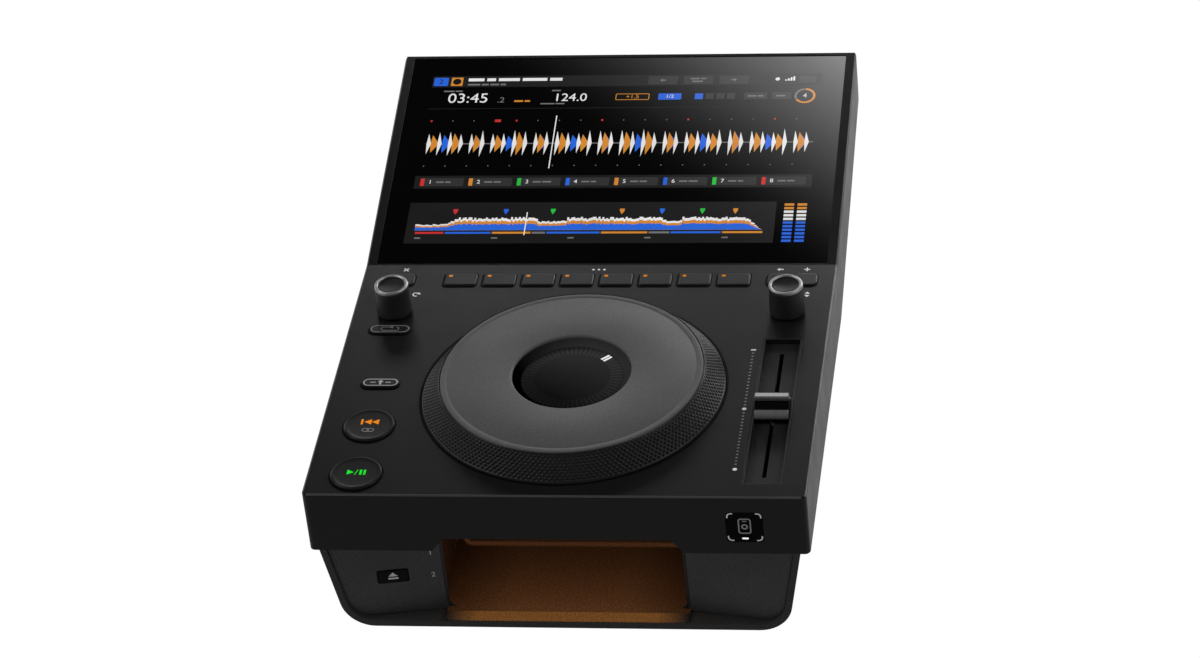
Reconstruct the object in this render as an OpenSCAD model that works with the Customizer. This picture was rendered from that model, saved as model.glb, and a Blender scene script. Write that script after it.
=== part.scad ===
// Tabletop player for DJs: control deck with a jog wheel, tilted screen and a lit media bay.
// Lengths in mm. Sketches use y from the front of the deck and z from the top of the deck.

/* [Deck layout] */
// Outer diameter of the jog wheel
jog_d = 157.8; // [140:0.1:175]
// Deck in front of the jog wheel
deck_front = 9.5; // [8:0.1:20]
// Deck between the jog wheel and the pad row
pad_setback = 13.1; // [8:0.1:25]
// Depth of a hot-cue pad
pad_l = 11.1; // [8:0.1:14]
// Deck between the pad row and the screen
label_strip = 8.5; // [6:0.1:15]
// Deck between the jog wheel and the fader channel
fader_margin = 15.9; // [12:0.1:25]
// Deck outside the fader channel
channel_edge = 13; // [11:0.1:20]
// Width of a hot-cue pad
pad_w = 17.6; // [14:0.1:20]
// Gap between two pads
pad_gap = 3.5; // [3:0.1:6]
// Width of the small keys beside the pads
key_w = 12.4; // [9:0.1:15]
// Gap between the two keys on the right
key_gap = 2; // [1.6:0.1:4]
// Deck between the pads and the keys
key_margin = 8.95; // [6:0.05:14]
// Deck outside the keys
key_edge = 9.6; // [8:0.1:16]

/* [Casing] */
// Height of the front fascia
fascia_h = 36; // [32:0.5:45]
// Height of the lower tub
tub_h = 50; // [44:0.5:60]
// Height of the rubber feet
foot_h = 4; // [2:0.5:8]
// Diameter of a rubber foot
foot_d = 18; // [12:0.5:24]
// Wall of the upper shell
wall = 2.5; // [2:0.1:3.2]
// Wall of the sloped screen part, which holds the glass
slope_wall = 4.5; // [4:0.1:6]
// Wall of the lower tub
tub_wall = 3.5; // [3:0.1:4.5]
// Tilt of the screen
tilt = 11.5; // [6:0.5:16]
// Length of the sloped part, measured level
screen_run = 160; // [140:1:180]
// Height of the shell's rear edge
rear_h = 29; // [24:0.5:34]
// How far the rear face leans in
rear_lean = 4.4; // [1:0.1:8]
// Chamfer along the shell's top edges
edge = 0.9; // [0.4:0.1:1.4]
// Radius of the shell's upright corners
corner_r = 3; // [1.5:0.1:5]
// How far the tub's sides stand in from the shell's
tub_step = 5; // [4:0.1:9]
// Lean of the tub's sides
tub_lean = 10.3; // [4:0.1:14]
// Radius of the tub's lower edges
tub_r = 17.5; // [12:0.5:22]
// How far the tub's back stands in from the shell's
tub_back = 15; // [10:0.5:25]

/* [Front] */
// Width of the media bay
bay_w = 123; // [100:1:130]
// Depth of the media bay
bay_l = 68; // [55:1:75]
// Wall of the bay liner
liner_t = 1.5; // [1:0.1:2]
// Radius of the bay's lower corners
bay_r = 4.5; // [3:0.5:14]
// Height of the notch in the fascia over the bay
notch_h = 8; // [4:0.5:10]
// Width of the notch at its top
notch_w = 116; // [90:1:122]
// How much wider the notch is at its foot, on each side
notch_flare = 6.5; // [2:0.5:9]
// Set-back of a front panel at the tub's side
panel_out = 1.4; // [1:0.1:6]
// Set-back of a front panel at the bay
panel_in = 10.5; // [7:0.1:14]
// Thickness of a front panel
panel_t = 2.5; // [2:0.1:3.5]
// Width of the eject button
eject_w = 15.1; // [10:0.1:20]
// Height of the eject button
eject_h = 7.4; // [5:0.1:12]
// From the bay to the middle of the eject button
eject_from_bay = 25.4; // [18:0.1:30]
// From the deck down to the middle of the eject button
eject_drop = 58; // [50:0.5:64]
// Size of the square touch window
touch_w = 19; // [14:0.1:22]
// From the shell's side to the middle of the touch window
touch_edge = 32; // [20:0.5:45]
// From the deck down to the middle of the touch window
touch_drop = 19; // [15:0.1:21]

/* [Screen] */
// Frame left and right of the screen glass
bezel_side = 5.5; // [4:0.1:9]
// Frame in front of the screen glass
bezel_front = 1; // [0.6:0.1:4]
// Frame behind the screen glass
bezel_back = 3; // [2:0.1:6]
// Thickness of the screen glass
glass_t = 1.6; // [1:0.1:2]
// Width of the ledge under the glass
ledge = 6; // [4:0.1:9]
// Thickness of the display
display_t = 6; // [4:0.1:8]

/* [Jog wheel] */
// Height of the touch plate above the deck
plate_z = 12.1; // [9:0.1:16]
// Diameter of the touch plate
plate_d = 136.6; // [120:0.1:139]
// Thickness of the touch plate
plate_t = 2.2; // [1.6:0.1:3]
// Diameter of the hole in the touch plate
dish_d = 62.6; // [54:0.1:70]
// How far the centre display lies below the plate
dish_drop = 3.9; // [2.5:0.1:5]
// Gap between the jog wheel and the deck
jog_gap = 0.6; // [0.4:0.1:1.2]
// How far the wheel reaches below the deck
skirt = 7; // [4:0.1:9]
// Wall of the jog ring and its bowl
ring_t = 2.5; // [2:0.1:3]
// Diameter of the fixed post
post_d = 32; // [24:0.5:36]
// Wall of the bearing bush
bush_t = 3; // [2:0.1:4]
// Diameter of the encoder disc
disc_d = 90; // [70:1:110]
// Slots in the encoder disc
disc_slots = 40; // [24:4:60]

/* [Tempo fader] */
// Width of the fader channel
channel_w = 20.2; // [19:0.1:24]
// Length of the fader channel
channel_l = 123.2; // [118:0.1:130]
// Depth of the fader channel
channel_drop = 3.2; // [2.4:0.1:4]
// From the front of the deck to the fader channel
channel_front = 10.4; // [8:0.1:14]
// Travel of the fader to each side of its middle
fader_travel = 48; // [40:0.5:50]
// Width of the fader cap
cap_w = 17.6; // [14:0.1:17.6]
// Length of the fader cap
cap_l = 16.5; // [14:0.1:20]
// Height of the fader cap above the deck
cap_z = 9.6; // [8:0.1:13]
// Height of the fader cap's two low ends above the deck
cap_lip = 2; // [1:0.1:4]
// Width of the ridge in the middle of the fader cap
cap_ridge = 3.4; // [2.6:0.1:5]

/* [Knobs and keys] */
// Diameter of a knob
knob_d = 18.4; // [16:0.1:20]
// Height of a knob above the deck
knob_z = 18.4; // [15:0.1:22]
// From the shell's side to a knob's axis
knob_edge = 22.9; // [19:0.1:26]
// From the pad row to a knob's axis
knob_back = 23.5; // [21:0.1:28]
// Press travel of a knob
knob_travel = 0.8; // [0.4:0.1:1]
// Diameter of the cue and play buttons
button_d = 26.7; // [22:0.1:28]
// Height of the cue, play and shift keys above the deck
button_z = 1.2; // [1:0.1:3]
// From the shell's side to the button column
button_edge = 25.8; // [24:0.1:28]
// Deck between the front wall and the play button
button_front = 0.95; // [0.9:0.05:4]
// From the play button to the cue button
cue_pitch = 40; // [38:0.5:44]
// From the cue button to the shift key
shift_pitch = 36; // [30:0.5:42]
// Width of the shift key
shift_w = 19.8; // [16:0.1:22]
// Width of the loop key
loop_w = 22; // [16:0.1:24]
// Depth of the shift and loop keys
pill_l = 7.5; // [6:0.1:9]
// From the knob down to the loop key
loop_pitch = 16.3; // [15.5:0.1:20]
// Height of the pads and small keys above the deck
pad_z = 0.8; // [0.4:0.1:2]
// Press travel of the keys
key_travel = 0.8; // [0.4:0.1:1]
// Press travel of the eject and power buttons
push_travel = 1.5; // [0.8:0.1:2]

/* [Hidden] */
$fn = 96;
PADS = 8;

// Clearances: run for moving pieces, fit for seated ones, turn for shafts, eps for cuts
run = 0.4;
fit = 0.15;
turn = 0.05;
eps = 1;

// Deck layout
jog_r = jog_d / 2;
jog_y = deck_front + jog_r;
pads_half = (PADS * pad_w + (PADS - 1) * pad_gap) / 2;
pads_y = deck_front + jog_d + pad_setback + pad_l / 2;
deck_l = pads_y + pad_l / 2 + label_strip;
half_w = max(jog_r + fader_margin + channel_w + channel_edge,
             pads_half + key_margin + 2 * key_w + key_gap + key_edge);
fader_x = half_w - channel_edge - channel_w / 2;
fader_y = channel_front + channel_l / 2;
knob_x = half_w - knob_edge;
knob_y = pads_y - pad_l / 2 - knob_back;
button_x = button_edge - half_w;
play_y = wall + button_front + button_d / 2;
cue_y = play_y + cue_pitch;
shift_y = cue_y + shift_pitch;
loop_y = knob_y - loop_pitch;
tag_x = half_w - key_edge - key_w / 2;
back_x = tag_x - key_w - key_gap;
depth = deck_l + screen_run;
rise = screen_run * tan(tilt);
slope_l = screen_run / cos(tilt);
deck_z = foot_h + tub_h + fascia_h;
tub_half = half_w - tub_step;
tub_floor = -fascia_h - tub_h + tub_wall;
tub_l = depth - tub_back;
rear_low = rise - rear_h;
notch_z = notch_h - fascia_h;

// Screws: M3, with pan heads
screw_r = 1.5;
head_r = 2.8;
head_h = 2;
screw_l = 7;
case_screw_l = 32;
case_head_z = -fascia_h - 20;
boss_r = 4.5;
post_r = 5.2;
case_points = [for (x = [-1, 1], p = [[80, jog_y - 58.4], [84, jog_y + 66.6]]) [x * p.x, p.y]];
ear_r = jog_r + jog_gap + ring_t + 6;
ear_points = [for (a = [45:90:315]) [ear_r * cos(a), jog_y + ear_r * sin(a)]];
ear_z = -wall - 5;

// Boards, keys and their switches
board_t = 1.6;
board_z = -wall - 11.9;
switch_w = 6;
switch_h = 4;
flange = 1.2;
side_flange = min(flange, key_gap / 2 - 0.3, pad_gap / 2 - 0.3);
button_flange = 0.6;
flange_t = 1.4;
flange_z = -wall - 0.3;
stem_z = board_z + switch_h + key_travel + 0.3;
encoder_w = 12.4;
encoder_h = 6.5;
sleeve_r = 3.5;
shaft_r = 3;

pad_r = 1.6;
key_r = 3;
trim_t = 1.8;
knob_sink = 1.4;
trim_w = 2.1;
knob_foot = knob_travel + 0.4;
function pad_x(i) = -pads_half + pad_w / 2 + i * (pad_w + pad_gap);

// Every key with the place of its switch on the control board
key_points = concat(
    [[button_x, play_y], [button_x, cue_y], [button_x, shift_y], [-knob_x, loop_y]],
    [for (x = [-knob_x, back_x, tag_x]) [x, pads_y]],
    [for (i = [0:PADS - 1]) [pad_x(i), pads_y]]
);

// Fader: lever in its slot, foot in the fader body
lever_t = 1.2;
lever_l = 6;
lever_top = 3;
slot_w = lever_t + 1;
slot_l = lever_l + 2 * fader_travel + 2;
foot_w = 6.2;
foot_l = 8;
channel_t = 1.5;
channel_lip = 1.8;
fader_top = -channel_drop - channel_t - 0.3;
fader_wall = 1.5;
fader_w = 12;

// Screen glass on the slope
glass_w = 2 * (half_w - bezel_side);
glass_l = slope_l - bezel_front - bezel_back;
glass_y = bezel_front + glass_l / 2;
glass_sink = 0.3;
display_gap = 3;

// Jog wheel section
seat_z = plate_z - plate_t;
plate_r = plate_d / 2;
dish_r = dish_d / 2;
cup_r = dish_r + 2;
cup_z = -1;
dish_z = cup_z + 1.2;
hub_r = post_d / 2 + turn + bush_t;
hub_z = -16;
disc_t = 1;
bowl_r = jog_r + jog_gap + 0.9;
bowl_z = hub_z - disc_t - 2.5;

// Bay, front panels and rear
bay_half = bay_w / 2;
liner_half = bay_half + liner_t;
bay_y = panel_in;
bay_end = bay_y + bay_l;
bay_floor = tub_floor + liner_t;
touch_flange = 2;
panel_top = min(-fascia_h + 6, -touch_drop - touch_w / 2 - touch_flange - fit);
panel_x0 = tub_half - tub_wall;
panel_x1 = liner_half + fit;
panel_turn = atan((panel_in - panel_out) / (panel_x0 - panel_x1));
eject_x = -liner_half - eject_from_bay;
eject_y = panel_out + (panel_x0 + eject_x) * tan(panel_turn);
light_w = 90;
light_l = 4;
touch_r = 2.5;
usb_w = 13.2;
usb_h = 5.8;
usb_l = 14;
usb_y = 44;
usb_z = [-49, -63];
touch_x = half_w - touch_edge;
rear_w = 190;
rear_z = [-fascia_h - 36, -fascia_h + 12];
rear_lip = 7;
rear_t = 1.5;
rear_mid = (rear_z[0] + rear_z[1]) / 2;
inlet = [28, 20];
inlet_x = -60;
power_x = -22;
power_r = 6;
lan_x = 14;
lan = [16, 13.5];
audio_x = [52, 72];
main_half = 74;
main_y = [bay_end + 14, bay_end + 160];
main_z = tub_floor + 10;
cooler_w = 40;
cooler_h = 8;
memory_w = 14;
memory_l = 12;
memory_h = 1.5;
memory_gap = 10;
header_w = 12;
header_h = 6;
header_gap = 26;
supply_w = 80;
supply_h = 34;
supply_x = -52;
supply_gap = 12;
supply_back = 22;
standoffs = [for (x = [-1, 1], y = [6, main_y[1] - main_y[0] - 6]) [x * (main_half - 6), main_y[0] + y]];

// The part stands on its feet, with the middle of its box over the origin
module placed() {
    translate([0, -depth / 2, deck_z]) children();
}

// Extrudes a side view (y, z) across the part
module across(w) {
    rotate([90, 0, 90]) linear_extrude(w, center = true) children();
}

// Extrudes a front view (x, z) back from y0 to y1
module back_from(y0, y1) {
    translate([0, y1, 0]) rotate([90, 0, 0]) linear_extrude(y1 - y0) children();
}

// Extrudes a plan (x, y) from z0 up to z1
module up_from(z0, z1) {
    translate([0, 0, z0]) linear_extrude(z1 - z0) children();
}

// Frame of the sloped screen: y along the slope, z square to it
module on_slope() {
    translate([0, deck_l, 0]) rotate([tilt, 0, 0]) children();
}

// Frame of the left front panel at the eject button: y into the panel
module on_left_panel() {
    translate([eject_x, eject_y, -eject_drop]) rotate([0, 0, panel_turn]) children();
}

module rounded(w, l, r) {
    square([w - 2 * r, l], center = true);
    square([w, l - 2 * r], center = true);
    for (x = [-1, 1], y = [-1, 1])
        translate([x * (w / 2 - r), y * (l / 2 - r)]) circle(r);
}

// Front view of the tub, inset by t: leaning sides, round lower edges
module tub_outline(t, top) {
    r = tub_r - t;
    half = tub_half - t;
    lean_half = tub_half - t / cos(tub_lean);
    cz = -fascia_h - tub_h + tub_r;
    cx = tub_half - (tub_r / cos(tub_lean)) - (-fascia_h - cz) * tan(tub_lean);
    tx = cx + r * cos(tub_lean);
    tz = cz - r * sin(tub_lean);
    polygon([
        [-half, top], [half, top], [half, -fascia_h], [lean_half, -fascia_h], [tx, tz], [cx, cz],
        [cx, cz - r], [-cx, cz - r], [-cx, cz], [-tx, tz], [-lean_half, -fascia_h], [-half, -fascia_h]
    ]);
    for (x = [-1, 1]) translate([x * cx, cz]) circle(r);
}

// Side view of the space below the shell's lower edge, down by drop
module below_shell(drop) {
    polygon([
        [-eps, -fascia_h], [deck_l, -fascia_h], [depth - rear_lean, rear_low],
        [depth - rear_lean, rear_low - drop], [deck_l, -fascia_h - drop], [-eps, -fascia_h - drop]
    ]);
}

module lower_tub() {
    rim_w = 2 * (half_w - wall - fit);
    rim_t = 2.5;
    rim_back = depth - rear_lean - wall - 1;
    rim_rise = (rear_low + fascia_h) / (screen_run - rear_lean);
    rim_end = -fascia_h + (rim_back - deck_l) * rim_rise;
    color("#232426") placed() {
        difference() {
            union() {
                intersection() {
                    back_from(0, tub_l) tub_outline(0, rise);
                    across(2 * half_w) below_shell(2 * tub_h + fascia_h);
                }
                across(rim_w) polygon([
                    [wall + fit, -fascia_h], [deck_l, -fascia_h], [rim_back, rim_end],
                    [rim_back, rim_end + rim_t], [deck_l, -fascia_h + rim_t],
                    [wall + fit, -fascia_h + rim_t]
                ]);
            }
            back_from(-eps, tub_l - tub_wall) tub_outline(tub_wall, rise);
            back_from(tub_l - tub_wall - eps, tub_l + eps) translate([0, rear_mid])
                square([rear_w - 2 * rear_lip, rear_z[1] - rear_z[0] - 2 * rear_lip], center = true);
            for (p = case_points) translate([p.x, p.y, -fascia_h - tub_h - eps])
                cylinder(r = head_r + 0.6, h = tub_wall + 2 * eps);
            rear_screws(screw_r + turn, tub_wall + eps);
        }
        for (p = case_points) translate([p.x, p.y, 0]) difference() {
            translate([0, 0, -fascia_h - tub_h + tub_wall / 2])
                cylinder(r = post_r, h = tub_h - tub_wall / 2);
            translate([0, 0, -fascia_h - tub_h - eps])
                cylinder(r = head_r + 0.6, h = case_head_z + fascia_h + tub_h + eps);
            translate([0, 0, -fascia_h - tub_h]) cylinder(r = screw_r + 0.3, h = tub_h + eps);
        }
        for (p = standoffs) translate([p.x, p.y, 0]) difference() {
            translate([0, 0, tub_floor - 0.5]) cylinder(r = 4, h = main_z - tub_floor + 0.5);
            translate([0, 0, main_z - 8]) cylinder(r = screw_r + turn, h = 8 + eps);
        }
    }
}

// Four places along the rear panel's edge, each a cylinder into the tub's rear wall
module rear_screws(r, l) {
    for (x = [-1, 1], z = rear_z)
        translate([x * (rear_w - rear_lip) / 2, tub_l, z + (z < rear_mid ? 1 : -1) * rear_lip / 2])
            rotate([90, 0, 0]) cylinder(r = r, h = l);
}

// Plan of one front panel, set back further towards the bay and on under its round corner
module panel_plan() {
    t = panel_t / cos(panel_turn);
    x = [panel_x1 - bay_r - liner_t, panel_x0 + eps];
    y = [for (at = x) panel_in - (at - panel_x1) * tan(panel_turn)];
    polygon([[x[0], y[0]], [x[1], y[1]], [x[1], y[1] + t], [x[0], y[0] + t]]);
}

// One front panel: inside the tub, behind the fascia's lower edge, up to the bay's liner
module front_panel() {
    difference() {
        up_from(tub_floor, panel_top) panel_plan();
        difference() {
            back_from(0, 3 * panel_in) square([3 * half_w, 6 * fascia_h], center = true);
            back_from(-eps, 3 * panel_in + eps) tub_outline(tub_wall + fit, fascia_h);
        }
        up_from(-fascia_h - fit, panel_top + eps) square([half_w, wall + fit]);
        back_from(0, 3 * panel_in) bay_outline(liner_t + fit);
    }
}

module front_left_panel() {
    color("#26272a") placed() difference() {
        mirror([1, 0, 0]) front_panel();
        on_left_panel() cube([eject_w + 2 * run, 6 * panel_t, eject_h + 2 * run], center = true);
    }
}

module front_right_panel() {
    color("#26272a") placed() front_panel();
}

// Front view of the bay: flat ceiling, round lower corners
module bay_outline(t) {
    half = bay_half + t;
    r = bay_r + t;
    floor_z = bay_floor - t;
    translate([-half, floor_z + r]) square([2 * half, notch_z + t - floor_z - r]);
    translate([-half + r, floor_z]) square([2 * (half - r), r + eps]);
    for (x = [-1, 1]) translate([x * (half - r), floor_z + r]) circle(r);
}

module media_bay_liner() {
    color("#7a4a1c") placed() difference() {
        union() {
            back_from(bay_y, bay_end) bay_outline(liner_t);
            for (sill = [[1, bay_y - fit, liner_half], [bay_y - eps, bay_y + eps, bay_half - bay_r]])
                back_from(sill[0], sill[1]) translate([0, tub_floor + liner_t / 2])
                    square([2 * sill[2], liner_t], center = true);
            back_from(wall + fit, bay_y + eps) translate([0, notch_z + liner_t / 2])
                square([2 * bay_half, liner_t], center = true);
        }
        back_from(bay_y - eps, bay_end - liner_t) bay_outline(0);
        for (z = usb_z) translate([-bay_half, usb_y, z])
            cube([4 * liner_t, usb_w + 2 * fit, usb_h + 2 * fit], center = true);
        bay_light(fit);
    }
}

module bay_light(gap) {
    translate([0, bay_y - light_l, notch_z + liner_t])
        cube([light_w + 2 * gap, light_l + 2 * gap, 2 * liner_t], center = true);
}

module bay_light_bar() {
    color("#ffb45a") placed() bay_light(0);
}

// Media socket: metal can with a tongue, open towards the bay
module usb_port(z) {
    can_t = 0.5;
    translate([-bay_half, usb_y, z]) {
        difference() {
            translate([-usb_l, -usb_w / 2, -usb_h / 2]) cube([usb_l, usb_w, usb_h]);
            translate([-usb_l + 2, -usb_w / 2 + can_t, -usb_h / 2 + can_t])
                cube([usb_l, usb_w - 2 * can_t, usb_h - 2 * can_t]);
        }
        translate([-usb_l + 1, -usb_w / 2 + 1.2, 0]) cube([usb_l - 2, usb_w - 2.4, 1.6]);
    }
}

module usb_port_upper() {
    color("#9a9a98") placed() usb_port(usb_z[0]);
}

module usb_port_lower() {
    color("#9a9a98") placed() usb_port(usb_z[1]);
}

// Side view of the shell's outside: flat deck, sloped screen, leaning back
module shell_side() {
    polygon([
        [0, -fascia_h], [0, -edge], [edge, 0], [deck_l, 0], [depth, rise],
        [depth - rear_lean, rear_low], [deck_l, -fascia_h]
    ]);
}

// Side view of the shell's hollow, open below
module shell_hollow() {
    back = depth - wall * 1.2;
    low = 2 * fascia_h;
    polygon([
        [wall, -low], [wall, -wall], [deck_l - edge, -wall],
        [deck_l + 2, -wall - (slope_wall - wall)],
        [back, (back - deck_l) * tan(tilt) - slope_wall / cos(tilt)],
        [back - rear_lean, rear_low - eps], [back - rear_lean, -low]
    ]);
}

// Chamfers along the shell's upper side edges and its rear edge
module edge_cuts() {
    for (x = [-half_w, half_w]) {
        translate([x, deck_l / 2, 0]) rotate([0, 45, 0])
            cube([edge * sqrt(2), deck_l + eps, edge * sqrt(2)], center = true);
        on_slope() translate([x, slope_l / 2, 0]) rotate([0, 45, 0])
            cube([edge * sqrt(2), slope_l + eps, edge * sqrt(2)], center = true);
    }
    on_slope() translate([0, slope_l, 0]) rotate([45, 0, 0])
        cube([2 * half_w, edge * sqrt(2), edge * sqrt(2)], center = true);
}

// Openings in the deck for everything that is worked by hand
module deck_openings() {
    translate([0, jog_y]) circle(jog_r + jog_gap);
    translate([fader_x, fader_y]) square([channel_w, channel_l], center = true);
    for (y = [play_y, cue_y]) translate([button_x, y]) circle(button_d / 2 + run);
    for (x = [-knob_x, knob_x]) translate([x, knob_y]) circle(shaft_r + 1);
    translate([button_x, shift_y]) rounded(shift_w + 2 * run, pill_l + 2 * run, pill_l / 2 + run - 0.01);
    translate([-knob_x, loop_y]) rounded(loop_w + 2 * run, pill_l + 2 * run, pill_l / 2 + run - 0.01);
    for (x = [-knob_x, back_x, tag_x]) translate([x, pads_y])
        rounded(key_w + 2 * run, pad_l + 2 * run, key_r + run);
    for (i = [0:PADS - 1]) translate([pad_x(i), pads_y])
        rounded(pad_w + 2 * run, pad_l + 2 * run, pad_r + run);
}

module upper_shell() {
    color("#2b2c2f") placed() {
        difference() {
            intersection() {
                across(2 * half_w) shell_side();
                up_from(-2 * fascia_h, 2 * rise) translate([0, depth / 2])
                    rounded(2 * half_w, depth, corner_r);
            }
            across(2 * (half_w - wall)) shell_hollow();
            edge_cuts();
            back_from(-eps, wall + eps) polygon([
                [-notch_w / 2, notch_z], [notch_w / 2, notch_z],
                [notch_w / 2 + notch_flare, -fascia_h - 0.01], [-notch_w / 2 - notch_flare, -fascia_h - 0.01]
            ]);
            back_from(-eps, wall + eps) translate([touch_x, -touch_drop]) rounded(touch_w, touch_w, touch_r);
            up_from(-wall - eps, eps) deck_openings();
            on_slope() translate([0, glass_y, 0]) {
                up_from(-glass_t - glass_sink, eps) rounded(glass_w, glass_l, 1);
                up_from(-2 * slope_wall, eps)
                    square([glass_w - 2 * ledge, glass_l - 2 * ledge], center = true);
            }
        }
        for (p = case_points) translate([p.x, p.y, 0]) difference() {
            union() {
                translate([0, 0, -fascia_h]) cylinder(r = boss_r, h = fascia_h - wall / 2);
                translate([0, 0, board_z]) cylinder(r = boss_r + 1.5, h = -wall / 2 - board_z);
            }
            translate([0, 0, -fascia_h - eps]) cylinder(r = screw_r + turn, h = 16 + eps);
        }
        for (p = ear_points) translate([p.x, p.y, 0]) difference() {
            translate([0, 0, ear_z]) cylinder(r = 4, h = -wall / 2 - ear_z);
            translate([0, 0, ear_z - eps]) cylinder(r = screw_r + turn, h = 5 + eps);
        }
    }
}

module touch_window() {
    color("#0c0c0e") placed() {
        back_from(0.1, wall) translate([touch_x, -touch_drop])
            rounded(touch_w - 2 * fit, touch_w - 2 * fit, touch_r - fit);
        back_from(wall, wall + 1.5) translate([touch_x, -touch_drop])
            rounded(touch_w + 2 * touch_flange, touch_w + 2 * touch_flange, touch_r + touch_flange);
    }
}

module fader_channel() {
    color("#191a1c") placed() translate([fader_x, fader_y, 0]) difference() {
        union() {
            up_from(-channel_drop - channel_t, -wall)
                square([channel_w + 2 * channel_lip, channel_l + 2 * channel_lip], center = true);
            up_from(-wall - 0.5, 0) square([channel_w - 2 * fit, channel_l - 2 * fit], center = true);
        }
        up_from(-channel_drop, eps) square([channel_w - 2, channel_l - 2], center = true);
        up_from(-2 * channel_drop - eps, 0) square([slot_w, slot_l], center = true);
    }
}

module fader_body() {
    color("#4a4b4e") placed() translate([fader_x, fader_y, 0]) difference() {
        up_from(board_z, fader_top) square([fader_w, channel_l + 2 * channel_lip], center = true);
        up_from(board_z + fader_wall, fader_top - fader_wall)
            square([foot_w + 2 * run, 2 * fader_travel + foot_l + 4], center = true);
        up_from(board_z + 2 * fader_wall, fader_top + eps) square([slot_w, slot_l], center = true);
    }
}

module fader_lever() {
    foot_z = board_z + fader_wall + run;
    foot_top = fader_top - fader_wall - run;
    color("#8d8e90") placed() translate([fader_x, fader_y, 0]) {
        up_from(foot_z, foot_top) square([foot_w, foot_l], center = true);
        up_from(foot_top - 0.5, lever_top) square([lever_t, lever_l], center = true);
    }
}

module fader_cap() {
    low = -channel_drop + 0.6;
    half = cap_l / 2;
    edge = 0.7;
    reach = half - cap_ridge / 2;
    dip = cap_z - edge - cap_lip;
    dip_r = (reach * reach + dip * dip) / (2 * reach);
    color("#1d1e20") placed() translate([fader_x, fader_y, 0]) difference() {
        across(cap_w) difference() {
            polygon([
                [-half, low], [half, low], [half, cap_z - edge], [cap_ridge / 2, cap_z - edge],
                [cap_ridge / 2 - edge, cap_z], [edge - cap_ridge / 2, cap_z],
                [-cap_ridge / 2, cap_z - edge], [-half, cap_z - edge]
            ]);
            for (s = [-1, 1]) translate([s * (cap_ridge / 2 + dip_r), cap_z - edge]) circle(dip_r);
        }
        up_from(low - eps, lever_top + fit) square([lever_t + 0.1, lever_l + 0.1], center = true);
    }
}

module screen_glass() {
    color("#060607") placed() on_slope() translate([0, glass_y, 0])
        up_from(-glass_t - glass_sink, -glass_sink)
            rounded(glass_w - 2 * fit, glass_l - 2 * fit, 1);
}

module display_panel() {
    top = -glass_t - glass_sink;
    color("#303236") placed() on_slope() translate([0, glass_y, 0])
        up_from(top - display_t, top)
            square([glass_w - 2 * (ledge + display_gap), glass_l - 2 * (ledge + display_gap)], center = true);
}

module main_board() {
    mid = (main_y[0] + main_y[1]) / 2;
    color("#1f5a36") placed() {
        difference() {
            up_from(main_z, main_z + board_t) translate([0, mid])
                square([2 * main_half, main_y[1] - main_y[0]], center = true);
            for (p = standoffs) translate([p.x, p.y, main_z - eps]) cylinder(r = screw_r + 0.3, h = 4);
        }
        up_from(main_z + board_t - 0.1, main_z + board_t + cooler_h) translate([0, mid])
            square(cooler_w, center = true);
        up_from(main_z + board_t - 0.1, main_z + board_t + memory_h)
            translate([cooler_w / 2 + memory_gap, mid + memory_gap]) square([memory_w, memory_l]);
        up_from(main_z + board_t - 0.1, main_z + board_t + header_h)
            translate([-cooler_w / 2 - header_gap - header_w, mid - cooler_w / 2 - memory_gap])
                square([header_w, cooler_w]);
    }
}

module control_board() {
    half = half_w - wall - 3;
    front = wall + 3;
    back = deck_l - 3;
    color("#1f5a36") placed() difference() {
        up_from(board_z - board_t, board_z) difference() {
            translate([-half, front]) square([2 * half, back - front]);
            translate([0, jog_y]) circle(bowl_r + ring_t + 1);
        }
        for (p = case_points) translate([p.x, p.y, board_z - 2 * board_t])
            cylinder(r = boss_r + fit, h = 4 * board_t);
    }
}

module tact_switches() {
    color("#3a3b3d") placed() for (p = key_points) translate([p.x, p.y, board_z]) {
        translate([-switch_w / 2, -switch_w / 2, 0]) cube([switch_w, switch_w, switch_h - 0.6]);
        cylinder(r = 1.7, h = switch_h);
    }
}

module power_supply() {
    front = main_y[1] + supply_gap;
    back = tub_l - tub_wall - supply_back;
    color("#8f9194") placed() up_from(tub_floor, tub_floor + supply_h)
        translate([supply_x, (front + back) / 2]) square([supply_w, back - front], center = true);
}

module rear_panel() {
    color("#1a1b1d") placed() difference() {
        back_from(tub_l, tub_l + rear_t) translate([0, rear_mid])
            rounded(rear_w, rear_z[1] - rear_z[0], 3);
        translate([0, rear_t, 0]) rear_screws(screw_r + 0.3, 2 * rear_t);
        back_from(tub_l - eps, tub_l + rear_t + eps) {
            translate([inlet_x, rear_mid]) square([inlet.x + 2 * fit, inlet.y + 2 * fit], center = true);
            translate([power_x, rear_mid]) circle(power_r + run);
            translate([lan_x, rear_mid]) square([lan.x + 2 * fit, lan.y + 2 * fit], center = true);
            for (x = audio_x) translate([x, rear_mid]) circle(6 + fit);
        }
    }
}

// Three-pin inlet: a collar on the panel, a socket with blades behind it
module mains_inlet() {
    deep = 17;
    well = [24.4, 16.6];
    color("#111214") placed() translate([inlet_x, tub_l + rear_t, rear_mid]) {
        difference() {
            union() {
                back_from(-deep - 2, 0.1) square(inlet, center = true);
                back_from(0, 1.2) rounded(inlet.x + 4, inlet.y + 4, 3);
            }
            back_from(-deep, 2) rounded(well.x, well.y, 2.5);
        }
        for (p = [[-7, -2], [0, 2], [7, -2]])
            back_from(-deep - 0.5, -5) translate(p) square([2, 4], center = true);
    }
}

module lan_socket() {
    color("#a5a6a4") placed() translate([lan_x, tub_l + rear_t, rear_mid]) difference() {
        union() {
            back_from(-16, 0.5) square(lan, center = true);
            back_from(-rear_t - 1, -rear_t) square([lan.x + 2, lan.y + 2], center = true);
        }
        back_from(-13, 1) square([11.8, 8.2], center = true);
    }
}

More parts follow.
